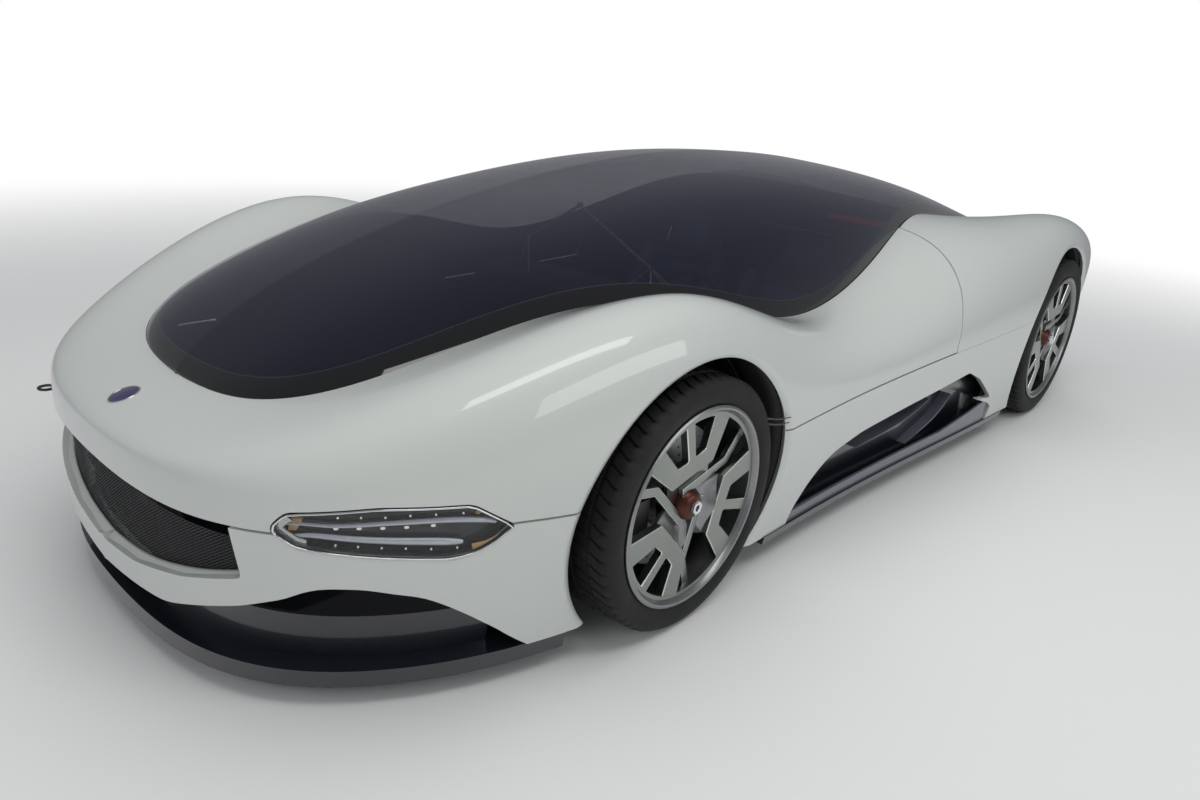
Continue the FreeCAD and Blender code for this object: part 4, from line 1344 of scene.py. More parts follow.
# tyre about Z, outer sidewall upward, height zero at mid-width
def tyreMesh(size):
    grow, half, full = size["lift"], size["width"] / 2, size["tyreR"]
    t = treadLook
    seat = 0.256
    stretch = (full - seat - grow) / (wheelSets["front"]["tyreR"] - seat)
    side = [(seat + grow + (r - seat) * stretch, inset) for r, inset in t["wall"]]
    profile = [(r, half - inset, 0, 0) for r, inset in side]
    tread = 2 * (half - t["shoulder"])
    marks = [(0.0, 0)]
    for centre in t["grooves"]:
        wide = t["grooveWide"] / 2 / tread
        marks += [(centre - wide - t["grooveSide"], 0), (centre - wide, 1), (centre + wide, 1),
                  (centre + wide + t["grooveSide"], 0)]
    marks.append((1.0, 0))
    shares = []
    for (a, deepA), (b, deepB) in zip(marks, marks[1:]):
        count = max(1, round((b - a) / 0.07))
        for k in range(count):
            share = a + (b - a) * k / count
            shares.append((share, deepA if k == 0 else min(deepA, deepB)))
    shares.append(marks[-1])
    for share, deep in shares:
        crown = full - t["crown"] * abs(2 * share - 1) ** 2.4
        profile.append((crown - deep * t["grooveDeep"], half - t["shoulder"] - share * tread,
                        slotShare(share), share))
    profile += [(r, -half + inset, 0, 1) for r, inset in side[::-1]]
    cols = len(profile)
    points = []
    for pitch in range(t["pitches"]):
        for part, cut in t["slot"]:
            for j, (r, h, slotted, share) in enumerate(profile):
                deep = cut * t["slotDeep"] * slotted
                angle = 2 * math.pi * (pitch + part) / t["pitches"] + t["slant"] * (share - 0.5) ** 2
                # shoulder slots fade into the sidewall
                if j in (len(side) - 1, cols - len(side)):
                    deep = cut * t["shoulderSlot"]
                points.append(((r - deep) * math.cos(angle), (r - deep) * math.sin(angle), h))
    return meshOf("tyre", points, gridFaces(t["pitches"] * len(t["slot"]), cols, 0, True, True))


# from the wheel's own axes, Z outward, to the car
def placed(mesh, size, side, shift, turn):
    x, y, z = size["centre"]
    own = mesh.copy()
    # Z becomes outward +X, X becomes rearward +Y, Y becomes up +Z
    basis = Matrix(((0, 0, 1, x + shift), (1, 0, 0, y), (0, 1, 0, z), (0, 0, 0, 1)))
    own.transform(basis @ Matrix.Rotation(math.radians(turn - 90), 4, "Z"))
    return own if side > 0 else flipX(own)


for axle, size in wheelSets.items():
    rim, tyre = rimMesh(size), tyreMesh(size)
    faceShift = size["width"] / 2 - rimLook["face"]
    for side, word in ((1, "left"), (-1, "right")):
        body = "wheel_" + axle + "_" + word
        wheel = pieceOf("alloy_" + axle + "_" + word, placed(rim, size, side, faceShift, size["turn"]),
                        *wheelLooks)
        smooth(wheel, 32)
        rubber = smooth(pieceOf("rubber_" + axle + "_" + word, placed(tyre, size, side, 0, 0), "tyre"), 40)
        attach(wheel, body)
        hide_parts("wheel_" + axle + "_" + word)
        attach(rubber, body)
        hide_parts("tyre_" + axle + "_" + word)
print("wheels done")

# Grille: crossed wires bulging with the nose, in a dark frame
grilleLook = {"inset": 0.030, "pitch": 0.011, "rise": 0.0072, "wire": 0.00105, "weave": 0.0009, "low": 0.214,
              "high": 0.398, "half": 0.56, "frameOut": 0.014, "frameIn": 0.002, "frameInset": 0.0225,
              "frameThick": 0.012, "lipRise": 0.012, "lipThick": 0.003, "lipTop": 0.32}


def grilleMesh():
    g = grilleLook
    inside = outlineField(roundedLoop(outlines["grille"], outlines["grilleRadius"]))
    half = g["half"]
    rows = int((g["high"] - g["low"]) / g["rise"] * 2) + 1
    cache = {}
    parts = []
    starts = int(half / g["pitch"]) + rows // 2 + 2
    for lean in (1, -1):
        for start in range(-starts, starts):
            path = []
            for row in range(rows):
                x = start * g["pitch"] + lean * row * g["pitch"] / 2 - lean * rows * g["pitch"] / 4
                z = g["low"] + row * g["rise"] / 2
                ok = abs(x) < half and inside(np.array([[abs(x), z]]))[0] < 0.008
                if ok:
                    key = (round(abs(x), 5), row)
                    if key not in cache:
                        cache[key] = noseY(x, z, g["inset"])
                    bulge = g["weave"] * (1 if (row + lean) % 2 else -1)
                    path.append((x, cache[key] + bulge, z))
                if not ok or row == rows - 1:
                    if len(path) > 1:
                        parts.append(tubeAlong(path, g["wire"], 4))
                    path = []
    return joinMeshes("grilleWires", parts)


grille = smooth(pieceOf("grilleWires", grilleMesh(), "dark"), 60)
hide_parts("grille_mesh")
g = grilleLook
frameCuts = [frontField("grille", g["frameOut"], True), frontField("grille", g["frameIn"]),
             seamField(-0.03, False)]
grilleFrame = panelPiece("grilleFrame", frameCuts, 0, "gloss", "gloss", g["frameThick"],
                         bodyGrid(g["frameInset"], False))


# painted return along the opening's lower edge, in to the wires
def grilleLipMesh():
    lower = smoothPath(outlines["grille"][4:0:-1], 90)
    lower = [(x, z) for x, z in lower if z < g["lipTop"]]
    points = []
    cols = 6
    for x, z in lower:
        for j in range(cols):
            t = j / (cols - 1)
            rise = z - 0.002 + g["lipRise"] * t ** 1.4
            points.append((x, noseY(x, rise, 0.002 + (g["inset"] - 0.005) * t), rise))
    half = meshOf("lip", points, gridFaces(len(lower), cols))
    return joinMeshes("grilleLip", [half, flipX(half)])


grilleLip = smooth(pieceOf("grilleLip", grilleLipMesh(), "paint"), 60)
modify(grilleLip, "SOLIDIFY", thickness=g["lipThick"], offset=-1)
for obj in (grille, grilleFrame, grilleLip):
    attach(obj, "root")
print("grille done", len(grille.data.polygons))

# Plain oval on the nose, and the latch prongs behind the front wheels
ovalLook = {"y": -2.246, "long": 0.033, "wide": 0.030, "rim": 0.0017, "lift": 0.0010, "crown": 0.0026}
skinTree = BVHTree.FromPolygons([tuple(p) for p in halfBody[0]], [tuple(f) for f in halfBody[1]])


def topZ(x, y):
    hit = skinTree.ray_cast(Vector((max(abs(x), 2e-4), y, 2)), Vector((0, 0, -1)))
    return hit[0].z


def noseOval():
    o = ovalLook
    steps, rings = 56, 8
    points = [Vector((0, o["y"], topZ(0, o["y"]) + o["lift"] + o["crown"]))]
    for j in range(1, rings + 1):
        share = j / rings
        for k in range(steps):
            turn = 2 * math.pi * k / steps
            x, y = share * o["wide"] * math.cos(turn), o["y"] + share * o["long"] * math.sin(turn)
            points.append(Vector((x, y, topZ(x, y) + o["lift"] + o["crown"] * (1 - share * share))))
    faces = [(0, 1 + k, 1 + (k + 1) % steps) for k in range(steps)]
    faces += gridFaces(rings, steps, 1, False, True)
    rim = tubeAlong(points[-steps:], o["rim"], 10, True)
    return rim, meshOf("field", points, faces)


ovalRim, ovalField = noseOval()
oval = smooth(pieceOf("noseOvalRim", ovalRim, "chrome"), 60)
ovalFace = smooth(pieceOf("noseOvalFace", ovalField, "enamel"), 60)
for obj in (oval, ovalFace):
    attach(obj, "lid")

prongLook = {"rows": [((-0.975, 0.507), (-0.925, 0.503)), ((-0.975, 0.492), (-0.930, 0.489))],
             "thick": 0.0035, "thin": 0.6}


def prongSize(t):
    return prongLook["thick"] * (1 - prongLook["thin"] * t)


prongs = []
for (y0, z0), (y1, z1) in prongLook["rows"]:
    path = [(0.925, y0 - 0.03, z0 + 0.002), (flankX(y0, z0) - 0.006, y0, z0),
            (flankX(y1, z1) + 0.002, y1, z1)]
    prongs.append(tubeAlong(smoothPath(path, 10), prongSize, 8))
latch = bothSides("latchProngs", prongs, "gloss", 50)
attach(latch, "root")

# Bucket seats: a shell with sewn pads, the left one filled and copied to the right
seatLook = {"x": 0.285, "voxel": 0.006, "frames": 20, "pressure": 4.0, "swell": 0.016, "rest": 0.002,
            "cord": 0.0028, "channel": 0.006, "channelWide": 0.007, "fill": 0.6}
padLook = {"rows": 34, "cols": 44, "waist": 0.05, "endHalf": 0.80, "endDeep": 0.12, "square": 0.45,
           "squareUp": 0.65, "crown": 0.18, "clear": 0.012, "cordDown": 0.42, "cordOut": 0.03}
bolsterLine = [(-0.395, 0.285), (-0.27, 0.280), (-0.12, 0.258), (-0.035, 0.300), (0.035, 0.430),
               (0.090, 0.560), (0.150, 0.655)]
# Each pad: its line along Y and Z on the seat's face, half width, middle across, thickness, sewn channels
padTable = {
    "seatPad": {"line": [(-0.432, 0.252), (-0.30, 0.224), (-0.16, 0.195), (-0.075, 0.186)], "half": 0.150,
                "across": 0, "thick": 0.050, "channels": (0.32, 0.58, 0.82)},
    "backPad": {"line": [(0.012, 0.235), (0.060, 0.360), (0.108, 0.490), (0.150, 0.605)], "half": 0.150,
                "across": 0, "thick": 0.050, "channels": (0.25, 0.5, 0.75)},
    "headPad": {"line": [(0.176, 0.655), (0.198, 0.715), (0.230, 0.775)], "half": 0.092, "across": 0,
                "thick": 0.042, "channels": ()},
    "innerBolster": {"line": bolsterLine, "half": 0.029, "across": -0.192, "thick": 0.078, "channels": ()},
    "outerBolster": {"line": bolsterLine, "half": 0.029, "across": 0.192, "thick": 0.078, "channels": ()},
}
shellLook = {"line": [(-0.446, 0.103), (-0.450, 0.205), (-0.425, 0.212), (-0.09, 0.142), (0.030, 0.170),
                      (0.218, 0.680), (0.236, 0.770), (0.258, 0.792), (0.286, 0.785), (0.294, 0.750),
                      (0.246, 0.562), (0.126, 0.332), (0.116, 0.103)],
             "half": 0.222, "round": 0.02, "edge": 0.008, "narrowFrom": 0.60, "headFrom": 0.66,
             "headHalf": 0.098}


# points on the pad's middle line with the way outward from the seat
def padFrames(spec, count):
    made = smoothPath(spec["line"], count)
    frames = []
    for i, (y, z) in enumerate(made):
        ahead, behind = made[min(i + 1, count - 1)], made[max(i - 1, 0)]
        along = Vector((0, ahead[0] - behind[0], ahead[1] - behind[1])).normalized()
        frames.append((Vector((0, y, z)), along, Vector((-1, 0, 0)).cross(along) * -1))
    return frames


# closed rounded form with sides drawn in between its corners
def padForm(spec):
    look = padLook
    rows, cols = look["rows"], look["cols"]
    points = []
    for i, (here, _, out) in enumerate(padFrames(spec, rows)):
        s = i / (rows - 1)
        end = max(1 - abs(2 * s - 1) ** 7, 0) ** 0.4
        half = spec["half"] * (1 - look["waist"] * math.sin(math.pi * s))
        half *= look["endHalf"] + (1 - look["endHalf"]) * end
        deep = spec["thick"] / 2 * max(end, look["endDeep"])
        for k in range(cols):
            turn = 2 * math.pi * k / cols
            c, d = math.cos(turn), math.sin(turn)
            x = half * math.copysign(abs(c) ** look["square"], c)
            crown = 1 + look["crown"] * (1 - (x / spec["half"]) ** 2) * end
            h = deep * math.copysign(abs(d) ** look["squareUp"], d) * (crown if d > 0 else 1)
            points.append(here + Vector((x + spec["across"], 0, 0))
                          + out * (h - spec["thick"] / 2 - look["clear"]))
    faces = gridFaces(rows, cols, 0, False, True, True)
    return meshOf("pad", points, faces + endFaces(rows, cols))


# remeshes a form and lets cloth pressure fill it, held where it rests on the shell
def filled(mesh, spec):
    look = seatLook
    obj = holder(mesh)
    modify(obj, "REMESH", mode="VOXEL", voxel_size=look["voxel"], use_smooth_shade=True)
    form = evaluated(obj)
    start = np.array([v.co for v in form.vertices])
    normals = np.array([v.normal for v in form.vertices])
    obj = holder(form)
    cloth = obj.modifiers.new("Cloth", "CLOTH")
    cloth.settings.use_pressure = True
    cloth.settings.uniform_pressure_force = look["pressure"]
    cloth.settings.quality = 4
    cloth.settings.effector_weights.gravity = 0
    cloth.collision_settings.use_collision = False
    for step in range(1, look["frames"] + 1):
        bpy.context.scene.frame_set(step)
    puffed = evaluated(obj)
    bpy.context.scene.frame_set(1)
    moved = np.array([v.co for v in puffed.vertices]) - start
    frames = padFrames(spec, 40)
    lines = np.array([f[0] for f in frames])
    outs = np.array([f[2] for f in frames])
    nearest = np.argmin(((start[:, None, 1:] - lines[None, :, 1:]) ** 2).sum(2), axis=1)
    facing = (normals * outs[nearest]).sum(1)
    cap = np.where(facing > -0.2, look["swell"], look["rest"])
    size = np.linalg.norm(moved, axis=1)
    moved *= np.minimum(1, cap / np.maximum(size, 1e-9))[:, None]
    for v, co in zip(puffed.vertices, start + moved):
        v.co = co
    return puffed


# draws the face in along the sewn channels
def sewn(mesh, spec):
    frames = padFrames(spec, 120)
    lines = np.array([f[0] for f in frames])
    wide, deep = seatLook["channelWide"], seatLook["channel"]
    run = np.concatenate([[0], np.cumsum(np.linalg.norm(np.diff(lines, axis=0), axis=1))])
    for v in mesh.vertices:
        near = int(np.argmin(((lines - np.array(v.co)) ** 2)[:, 1:].sum(1)))
        out = frames[near][2]
        if v.normal.dot(out) < 0.1:
            continue
        for share in spec["channels"]:
            gap = (run[near] - share * run[-1]) / wide
            if abs(gap) < 3:
                v.co -= out * deep * math.exp(-gap * gap)
    return mesh


# closed line round the pad's side, laid on its surface
def pipingPath(mesh, spec):
    tree = BVHTree.FromPolygons([v.co for v in mesh.vertices], [tuple(f.vertices) for f in mesh.polygons])
    frames = padFrames(spec, 40)
    loop = []
    for side in (1, -1):
        ordered = frames if side > 0 else frames[::-1]
        for here, along, out in ordered[1:-1]:
            at = here + Vector((spec["across"] + side * (spec["half"] + padLook["cordOut"]), 0, 0)) \
                - out * (spec["thick"] * padLook["cordDown"])
            loop.append(tree.find_nearest(at)[0])
        tip, along, out = ordered[-1]
        for share in (0.8, 0.4, 0, -0.4, -0.8):
            at = tip + Vector((spec["across"] + side * share * spec["half"], 0, 0)) \
                + along * (padLook["cordOut"] * side) - out * (spec["thick"] * padLook["cordDown"])
            loop.append(tree.find_nearest(at)[0])
    for _ in range(3):
        loop = [(loop[i - 1] + loop[i] * 2 + loop[(i + 1) % len(loop)]) / 4 for i in range(len(loop))]
    return loop


# seat shell swept across with rounded edges
def shellMesh():
    s = shellLook
    loop = roundedLoop(s["line"], s["round"], 5)
    mesh = flatMesh("shell", [loop], -s["half"], s["half"], s["edge"])
    mesh.transform(sideways)
    for v in mesh.vertices:
        above, head = v.co.z - s["narrowFrom"], max(v.co.z - s["headFrom"], 0)
        limit = s["half"] if above < 0 else max(s["headHalf"], s["half"] - above * 1.1 - head * 1.2)
        v.co.x = max(-limit, min(limit, v.co.x))
    return mesh


def bothSeats(name, mesh, look):
    mesh.transform(Matrix.Translation((seatLook["x"], 0, 0)))
    made = []
    for word, own in (("Left", mesh), ("Right", flipX(mesh))):
        obj = smooth(pieceOf(name + word, own, look), 55)
        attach(obj, "root")
        made.append(obj)
    return made


for name, spec in padTable.items():
    pad = sewn(filled(padForm(spec), spec), spec)
    cord = tubeAlong(pipingPath(pad, spec), seatLook["cord"], 6, True)
    for obj in bothSeats(name, pad, "leather"):
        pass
    bothSeats(name + "Piping", cord, "darkLeather")
for obj in bothSeats("seatShell", shellMesh(), "darkLeather"):
    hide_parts("seats")
print("seats done")

# Sill panels in the side cut-outs, a skirt on the floor's edge and curved fins
sillLook = {"panelInset": 0.075, "panelThick": 0.010, "span": (-0.80, 0.78), "low": 0.10, "top": 0.44,
            "skirtInset": 0.004, "skirtThick": 0.008, "shelfThick": 0.004,
            "skirt": [(-0.75, 0.1), (-0.75, 0.139), (0.300, 0.150), (0.560, 0.185), (0.690, 0.210),
                      (0.725, 0.130), (0.735, 0.1)],
            "skirtFrom": 0.6, "shelfFrom": -0.745, "shelfLong": 1.475, "finSteps": 40}
# Each fin: its line along Y and Z, thickness, and how far inside the flank's skin its edge lies
finTable = [
    ([(-0.394, 0.260), (-0.240, 0.266), (-0.087, 0.280), (0.020, 0.303), (0.099, 0.333)], 0.0035, 0.012),
    ([(0.060, 0.150), (0.150, 0.182), (0.230, 0.212), (0.290, 0.252), (0.330, 0.300)], 0.008, 0.026),
]


def sillSpan(p):
    s = sillLook
    along = np.minimum(p[:, 1] - s["span"][0], s["span"][1] - p[:, 1])
    return np.minimum(along, np.minimum(p[:, 2] - s["low"], s["top"] - p[:, 2]))


def skirtField():
    outline = outlineField(sillLook["skirt"])

    def field(p):
        return np.minimum(-outline(p[:, 1:3]), p[:, 0] - sillLook["skirtFrom"])
    return field


# flat ledge between the skirt and the sill panel
def shelfMesh():
    s = sillLook
    count, cols = 60, 3
    points = []
    for i in range(count):
        y = s["shelfFrom"] + s["shelfLong"] * i / (count - 1)
        edge = flankX(y, s["low"] + 0.002)
        for j in range(cols):
            x = edge - s["skirtInset"] - 0.004 - (s["panelInset"] - s["skirtInset"]) * j / (cols - 1)
            points.append((x, y, s["low"] + s["shelfThick"]))
    return meshOf("shelf", points, gridFaces(count, cols))


# thin blade standing on the sill panel
def finMesh(path, thick, inset):
    count, deepest = sillLook["finSteps"], sillLook["panelInset"] - 0.001
    line = smoothPath(path, count)
    points = []
    for i, (y, z) in enumerate(line):
        ahead, behind = line[min(i + 1, count - 1)], line[max(i - 1, 0)]
        along = Vector((ahead[0] - behind[0], ahead[1] - behind[1])).normalized()
        taper = thick / 2 * min(1, 0.25 + 6 * min(i, count - 1 - i) / (count - 1))
        for depth, side in ((inset, -1), (inset, 1), (deepest, 1), (deepest, -1)):
            off = side * taper * (0.6 if depth == inset else 1)
            yy, zz = y - along.y * off, z + along.x * off
            points.append((flankX(yy, zz) - depth, yy, zz))
    last = 4 * (count - 1)
    faces = gridFaces(count, 4, 0, False, True) + [(3, 2, 1, 0), tuple(range(last, last + 4))]
    return meshOf("fin", points, faces)


for name, cuts, look, part in (("sillPanels", [sillSpan], "carbon", "panel"),
                               ("sillSkirts", [skirtField()], "skirt", "skirt")):
    obj = panelPiece(name, cuts, 0, look, look, sillLook[part + "Thick"],
                     bodyGrid(sillLook[part + "Inset"], False))
    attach(obj, "root")
    if name == "sillPanels":
        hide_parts("side_sills")
fins = bothSides("sillFins", [finMesh(*fin) for fin in finTable], "skirt", 30)
shelves = bothSides("sillShelves", [shelfMesh()], "carbon")
modify(shelves, "SOLIDIFY", thickness=sillLook["shelfThick"], offset=-1)
for obj in (fins, shelves):
    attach(obj, "root")
print("sills done")

# Strips that carry the wheel-arch liners out to the skin, and caps over the axle holes
linerLook = {"gap": 0.012, "thick": 0.003, "fromX": {"front": 0.797, "rear": 0.897}, "short": 0.030,
             "low": 0.105, "steps": 180, "wall": {"front": 0.5, "rear": 0.64},
             "cap": [(0.0005, 0.014), (0.016, 0.013), (0.024, 0.008), (0.042, 0.003), (0.042, 0.0005),
                     (0.0005, 0.0005)]}


def linerStrip(axle):
    y0, z0, radius = arches[axle]
    radius += linerLook["gap"]
    start = linerLook["fromX"][axle]
    points, count = [], 0
    for k in range(linerLook["steps"] + 1):
        turn = math.radians(-60 + 300 * k / linerLook["steps"])
        y, z = y0 + radius * math.cos(turn), z0 + radius * math.sin(turn)
        if z < linerLook["low"]:
            continue
        reach = max(flankX(y, z) - linerLook["short"], start + 0.002)
        points += [(start + (reach - start) * j / 3, y, z) for j in range(4)]
        count += 1
    return meshOf("strip", points, gridFaces(count, 4))


# cap over the axle hole on the cabin side of the wall
def axleCap(axle):
    mesh = turnedMesh("cap", linerLook["cap"], 40)
    y, z = wheelSets[axle]["centre"][1:]
    inward = Matrix(((0, 0, -1, linerLook["wall"][axle]), (1, 0, 0, y), (0, -1, 0, z), (0, 0, 0, 1)))
    mesh.transform(inward)
    return mesh


strips = bothSides("archStrips", [linerStrip("front"), linerStrip("rear")], "plastic", 50)
caps = bothSides("axleCaps", [axleCap("front"), axleCap("rear")], "plastic", 40)
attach(caps, "root")
modify(strips, "SOLIDIFY", thickness=linerLook["thick"], offset=1)
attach(strips, "root")

# Drilled brake discs on their hats, below the wheel's face
discLook = {"profile": [(0.0315, -0.118), (0.190, -0.118), (0.190, -0.109), (0.150, -0.109), (0.150, -0.097),
                        (0.185, -0.097), (0.185, -0.094), (0.086, -0.094), (0.080, -0.060), (0.0315, -0.060)],
            "plate": (0.088, 0.190), "plateHeight": (-0.094, -0.088), "holeR": 0.0035,
            "rows": (0.105, 0.127, 0.149, 0.171), "perRow": 18, "twist": 0.28}


def discMesh():
    d = discLook
    loops = [circle(d["plate"][1], 96), circle(d["plate"][0], 64)]
    for row, radius in enumerate(d["rows"]):
        for k in range(d["perRow"]):
            turn = 2 * math.pi * (k + row * d["twist"]) / d["perRow"]
            loops.append(circle(d["holeR"], 10, radius * math.cos(turn), radius * math.sin(turn)))
    plate = flatMesh("plate", loops, *d["plateHeight"], 0.0004, 0)
    return addTurnedUv(joinMeshes("disc", [turnedMesh("hat", d["profile"], 96), plate]))


discForm = discMesh()
for axle, size in wheelSets.items():
    for side, word in ((1, "left"), (-1, "right")):
        own = placed(discForm, size, side, size["width"] / 2 - rimLook["face"], size["turn"])
        disc = smooth(pieceOf("disc_" + axle + "_" + word, own, "disc"), 32)
        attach(disc, "wheel_" + axle + "_" + word)
        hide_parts("brake_disc_" + axle + "_" + word)
print("discs done")

# Cabin: dashboard, console, steering wheel and the bright rod frame
dashLook = {"side": [(-0.780, 0.431), (-0.860, 0.520), (-0.862, 0.640), (-0.780, 0.672), (-0.680, 0.668),
                     (-0.600, 0.630), (-0.565, 0.560), (-0.600, 0.431)],
            "top": [(0, 0.69), (0.43, 0.68), (0.52, 0.60), (0.575, 0.52)], "low": 0.431, "cuts": 24,
            "half": 0.575, "round": 0.03, "edge": 0.012}
consoleLook = {"side": [(-0.62, 0.102), (-0.62, 0.29), (-0.50, 0.328), (0.24, 0.328), (0.298, 0.285),
                        (0.298, 0.102)],
               "half": 0.049, "round": 0.02, "edge": 0.012}
steerLook = {"centre": (0.285, -0.470, 0.560), "ring": 0.165, "grip": 0.0135, "spoke": 0.011, "hub": 0.044,
             "tilt": math.atan(0.25), "column": 0.019, "columnLong": 0.12, "steps": 72}
trussLook = {"apex": (0, -0.806, 0.920), "joint": (0.290, -0.760, 0.760), "rod": 0.005, "leg": 0.004,
             "clamp": 0.009, "feet": [(0.200, -0.835, 0.655), (0.312, -0.780, 0.660), (0.376, -0.715, 0.655),
                                      (0.455, -0.640, 0.600)]}


# outline in Y and Z swept across the car with rounded edges
def sideForm(name, look):
    loop = roundedLoop(look["side"], look["round"], 6)
    mesh = flatMesh(name, [loop], -look["half"], look["half"], look["edge"], 2)
    mesh.transform(sideways)
    return mesh


def dashMesh():
    d = dashLook
    mesh = sideForm("dash", d)
    bm = bmesh.new()
    bm.from_mesh(mesh)
    for k in range(1, d["cuts"]):
        x = -d["half"] + 2 * d["half"] * k / d["cuts"]
        whole = list(bm.verts) + list(bm.edges) + list(bm.faces)
        bmesh.ops.bisect_plane(bm, geom=whole, plane_co=(x, 0, 0), plane_no=(1, 0, 0))
    xs, tops = zip(*d["top"])
    for v in bm.verts:
        top = np.interp(abs(v.co.x), xs, tops)
        v.co.z = d["low"] + (v.co.z - d["low"]) * (top - d["low"]) / (tops[0] - d["low"])
    bm.to_mesh(mesh)
    bm.free()
    return mesh


def steerMesh():
    s = steerLook
    parts = [tubeAlong([(x, y, 0) for x, y in circle(s["ring"], s["steps"])], s["grip"], 14, True)]
    for angle in (-8, 188, 270):
        a = math.radians(angle)
        c, d = math.cos(a), math.sin(a)
        path = [(0.02 * c, 0.02 * d, -0.020), (0.09 * c, 0.09 * d, -0.010), (s["ring"] * c, s["ring"] * d, 0)]
        parts.append(tubeAlong(smoothPath(path, 12), s["spoke"], 10))
    hub = [(0.0001, 0.004), (0.030, 0.002), (s["hub"], -0.008), (s["hub"], -0.030), (s["column"], -0.036),
           (s["column"], -0.036 - s["columnLong"]), (0.0001, -0.036 - s["columnLong"])]
    parts.append(turnedMesh("hub", hub[::-1], 40, False))
    whole = joinMeshes("steer", parts)
    # the wheel's own Z points back at the driver
    back = Vector((0, math.cos(s["tilt"]), math.sin(s["tilt"])))
    across = Vector((1, 0, 0))
    up = back.cross(across)
    whole.transform(Matrix((across, up, back)).transposed().to_4x4())
    whole.transform(Matrix.Translation(s["centre"]))
    return whole


def trussMesh():
    t = trussLook
    parts = []
    for side in (1, -1):
        joint = Vector((side * t["joint"][0], *t["joint"][1:]))
        ends = [(t["apex"], t["rod"])] + [((side * x, y, z), t["leg"]) for x, y, z in t["feet"]]
        for end, radius in ends:
            path = [joint.lerp(Vector(end), k / 4) for k in range(5)]
            parts.append(tubeAlong(path, radius, 12))
        clamp = [joint + Vector((0, 0, h * t["clamp"])) for h in (-1, -0.5, 0, 0.5, 1)]
        parts.append(tubeAlong(clamp, t["clamp"], 16))
    top = [Vector(t["apex"]) + Vector((0, 0, h * t["clamp"])) for h in (-1, 0, 1)]
    parts.append(tubeAlong(top, t["clamp"], 16))
    return joinMeshes("truss", parts)


for name, mesh, look, node in (
        ("dashTop", dashMesh(), "darkLeather", "dashboard"),
        ("consoleCover", sideForm("console", consoleLook), "darkLeather", "centre_console"),
        ("steeringRim", steerMesh(), "darkLeather", "steering_wheel"),
        ("rodFrame", trussMesh(), "steel", "display_truss")):
    obj = smooth(pieceOf(name, mesh, look), 40)
    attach(obj, "root")
    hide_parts(node)
print("cabin done")

# Remaining solids keep their shape and take a finish
carried = {
    "carbon": ("floor_tub", "front_splitter", "front_intake", "rear_diffuser"),
    "plastic": ("wheel_liners", "canopy_flange", "lid_hinge_lugs", "hinge_forks"),
    "cast": ("engine_block", "transaxle"),
    "dark": ("front_wishbones", "rear_suspension", "knuckle_front_left", "knuckle_front_right", "tow_loop"),
    "steel": ("exhaust_tips",),
    "red": ("tail_lamps",),
}
for look, names in carried.items():
    for name in names:
        nodes[name].data.materials.clear()
        nodes[name].data.materials.append(finishes[look])
print("carried solids dressed")

# Stage, camera and light
shot = {"place": (1.956, -2.846, 1.291), "azimuth": 41.334, "elevation": 20.458, "roll": 4.884,
        "focalPixels": 836.1, "photoWidth": 1200, "sensor": 36, "near": 0.05}
studio = {"floor": 40, "fadeFrom": 3.0, "fadeTo": 8.0, "drop": 0.001, "soft": (0.92, 0.95, 1, 1),
          "power": 0.27}
# Each bank: place, aim, size, watts, tint, and whether surfaces mirror it
banks = {
    "overheadBank": ((0.3, -0.6, 5.2), (0, -0.2, 0), (8.5, 5.0), 140, (1, 0.99, 0.97), False),
    "crestBank": ((2.6, -1.6, 4.2), (0.6, -0.6, 0.6), (3.6, 0.8), 36, (1, 1, 0.98), True),
    "noseBank": ((1.0, -6.0, 3.2), (0, -1.2, 0.4), (4.5, 2.0), 46, (1, 1, 1), False),
    "flankBank": ((6.0, 0.5, 2.6), (0, 0.3, 0.4), (5.5, 1.6), 60, (0.97, 1, 0.98), True),
    "farBank": ((-5.5, 1.5, 3.0), (0, 0, 0.5), (4.0, 1.5), 45, (1, 1, 1), False),
    "tailBank": ((0.0, 6.2, 2.8), (0, 1.5, 0.5), (3.5, 1.2), 40, (1, 1, 1), False),
}


def addCamera():
    a, e, r = (math.radians(shot[k]) for k in ("azimuth", "elevation", "roll"))
    back = Vector((math.sin(a) * math.cos(e), -math.cos(a) * math.cos(e), math.sin(e)))
    right = (-back).cross(Vector((0, 0, 1))).normalized()
    up = right.cross(-back)
    x = math.cos(r) * right + math.sin(r) * up
    y = -math.sin(r) * right + math.cos(r) * up
    data = bpy.data.cameras.new("photoView")
    data.sensor_width = shot["sensor"]
    data.lens = shot["focalPixels"] / shot["photoWidth"] * shot["sensor"]
    data.clip_start = shot["near"]
    camera = bpy.data.objects.new("photoView", data)
    camera.matrix_world = Matrix((x, y, back)).transposed().to_4x4()
    camera.location = shot["place"]
    bpy.context.scene.collection.objects.link(camera)
    bpy.context.scene.camera = camera


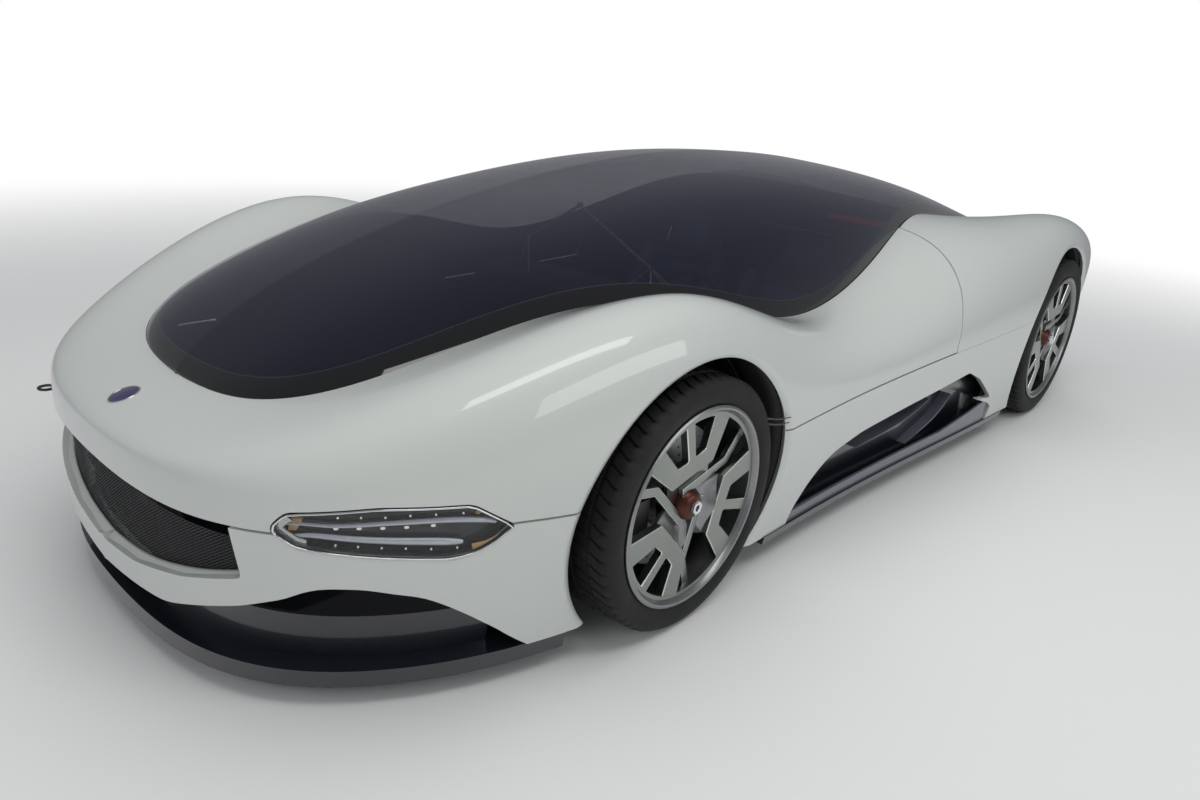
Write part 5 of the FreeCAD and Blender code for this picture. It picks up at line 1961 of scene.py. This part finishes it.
def addFloor():
    w = studio["floor"]
    mesh = meshOf("studioFloor", [(-w, -w, 0), (w, -w, 0), (w, w, 0), (-w, w, 0)], [(0, 1, 2, 3)])
    f = Finish("studioFloor")
    where = f.place()
    haze = f.noise(where, 0.6)
    far = f.node("ShaderNodeVectorMath", {"operation": "LENGTH"}, {0: where}, 1)
    f.wear(colour=f.mix(haze, (0.80, 0.80, 0.80), (0.84, 0.84, 0.84)), rough=0.6, specular=0.25,
           alpha=f.between(far, studio["fadeTo"], studio["fadeFrom"]))
    mesh.materials.append(f.material)
    obj = holder(mesh)
    obj.location.z = cadBox[0].z - studio["drop"]


def addLight():
    world = bpy.data.worlds.new("studio")
    bpy.context.scene.world = world
    world.use_nodes = True
    tree = world.node_tree
    tree.nodes.clear()
    rays = tree.nodes.new("ShaderNodeLightPath")
    seen = tree.nodes.new("ShaderNodeMath")
    seen.operation = "MAXIMUM"
    tree.links.new(rays.outputs["Is Camera Ray"], seen.inputs[0])
    tree.links.new(rays.outputs["Is Transmission Ray"], seen.inputs[1])
    soft = tree.nodes.new("ShaderNodeBackground")
    soft.inputs[0].default_value = studio["soft"]
    soft.inputs[1].default_value = studio["power"]
    white = tree.nodes.new("ShaderNodeBackground")
    white.inputs[0].default_value = (1, 1, 1, 1)
    white.inputs[1].default_value = 1
    mix = tree.nodes.new("ShaderNodeMixShader")
    out = tree.nodes.new("ShaderNodeOutputWorld")
    tree.links.new(seen.outputs[0], mix.inputs[0])
    tree.links.new(soft.outputs[0], mix.inputs[1])
    tree.links.new(white.outputs[0], mix.inputs[2])
    tree.links.new(mix.outputs[0], out.inputs[0])
    for name, (place, aim, size, watts, tint, mirrored) in banks.items():
        data = bpy.data.lights.new(name, "AREA")
        data.shape = "RECTANGLE"
        data.size, data.size_y = size
        data.energy = watts
        data.color = tint
        obj = bpy.data.objects.new(name, data)
        obj.visible_glossy = mirrored
        obj.location = place
        obj.rotation_euler = (Vector(aim) - Vector(place)).to_track_quat("-Z", "Y").to_euler()
        bpy.context.scene.collection.objects.link(obj)


addCamera()
addFloor()
addLight()
bpy.context.scene.view_settings.view_transform = "Standard"
print("stage set")
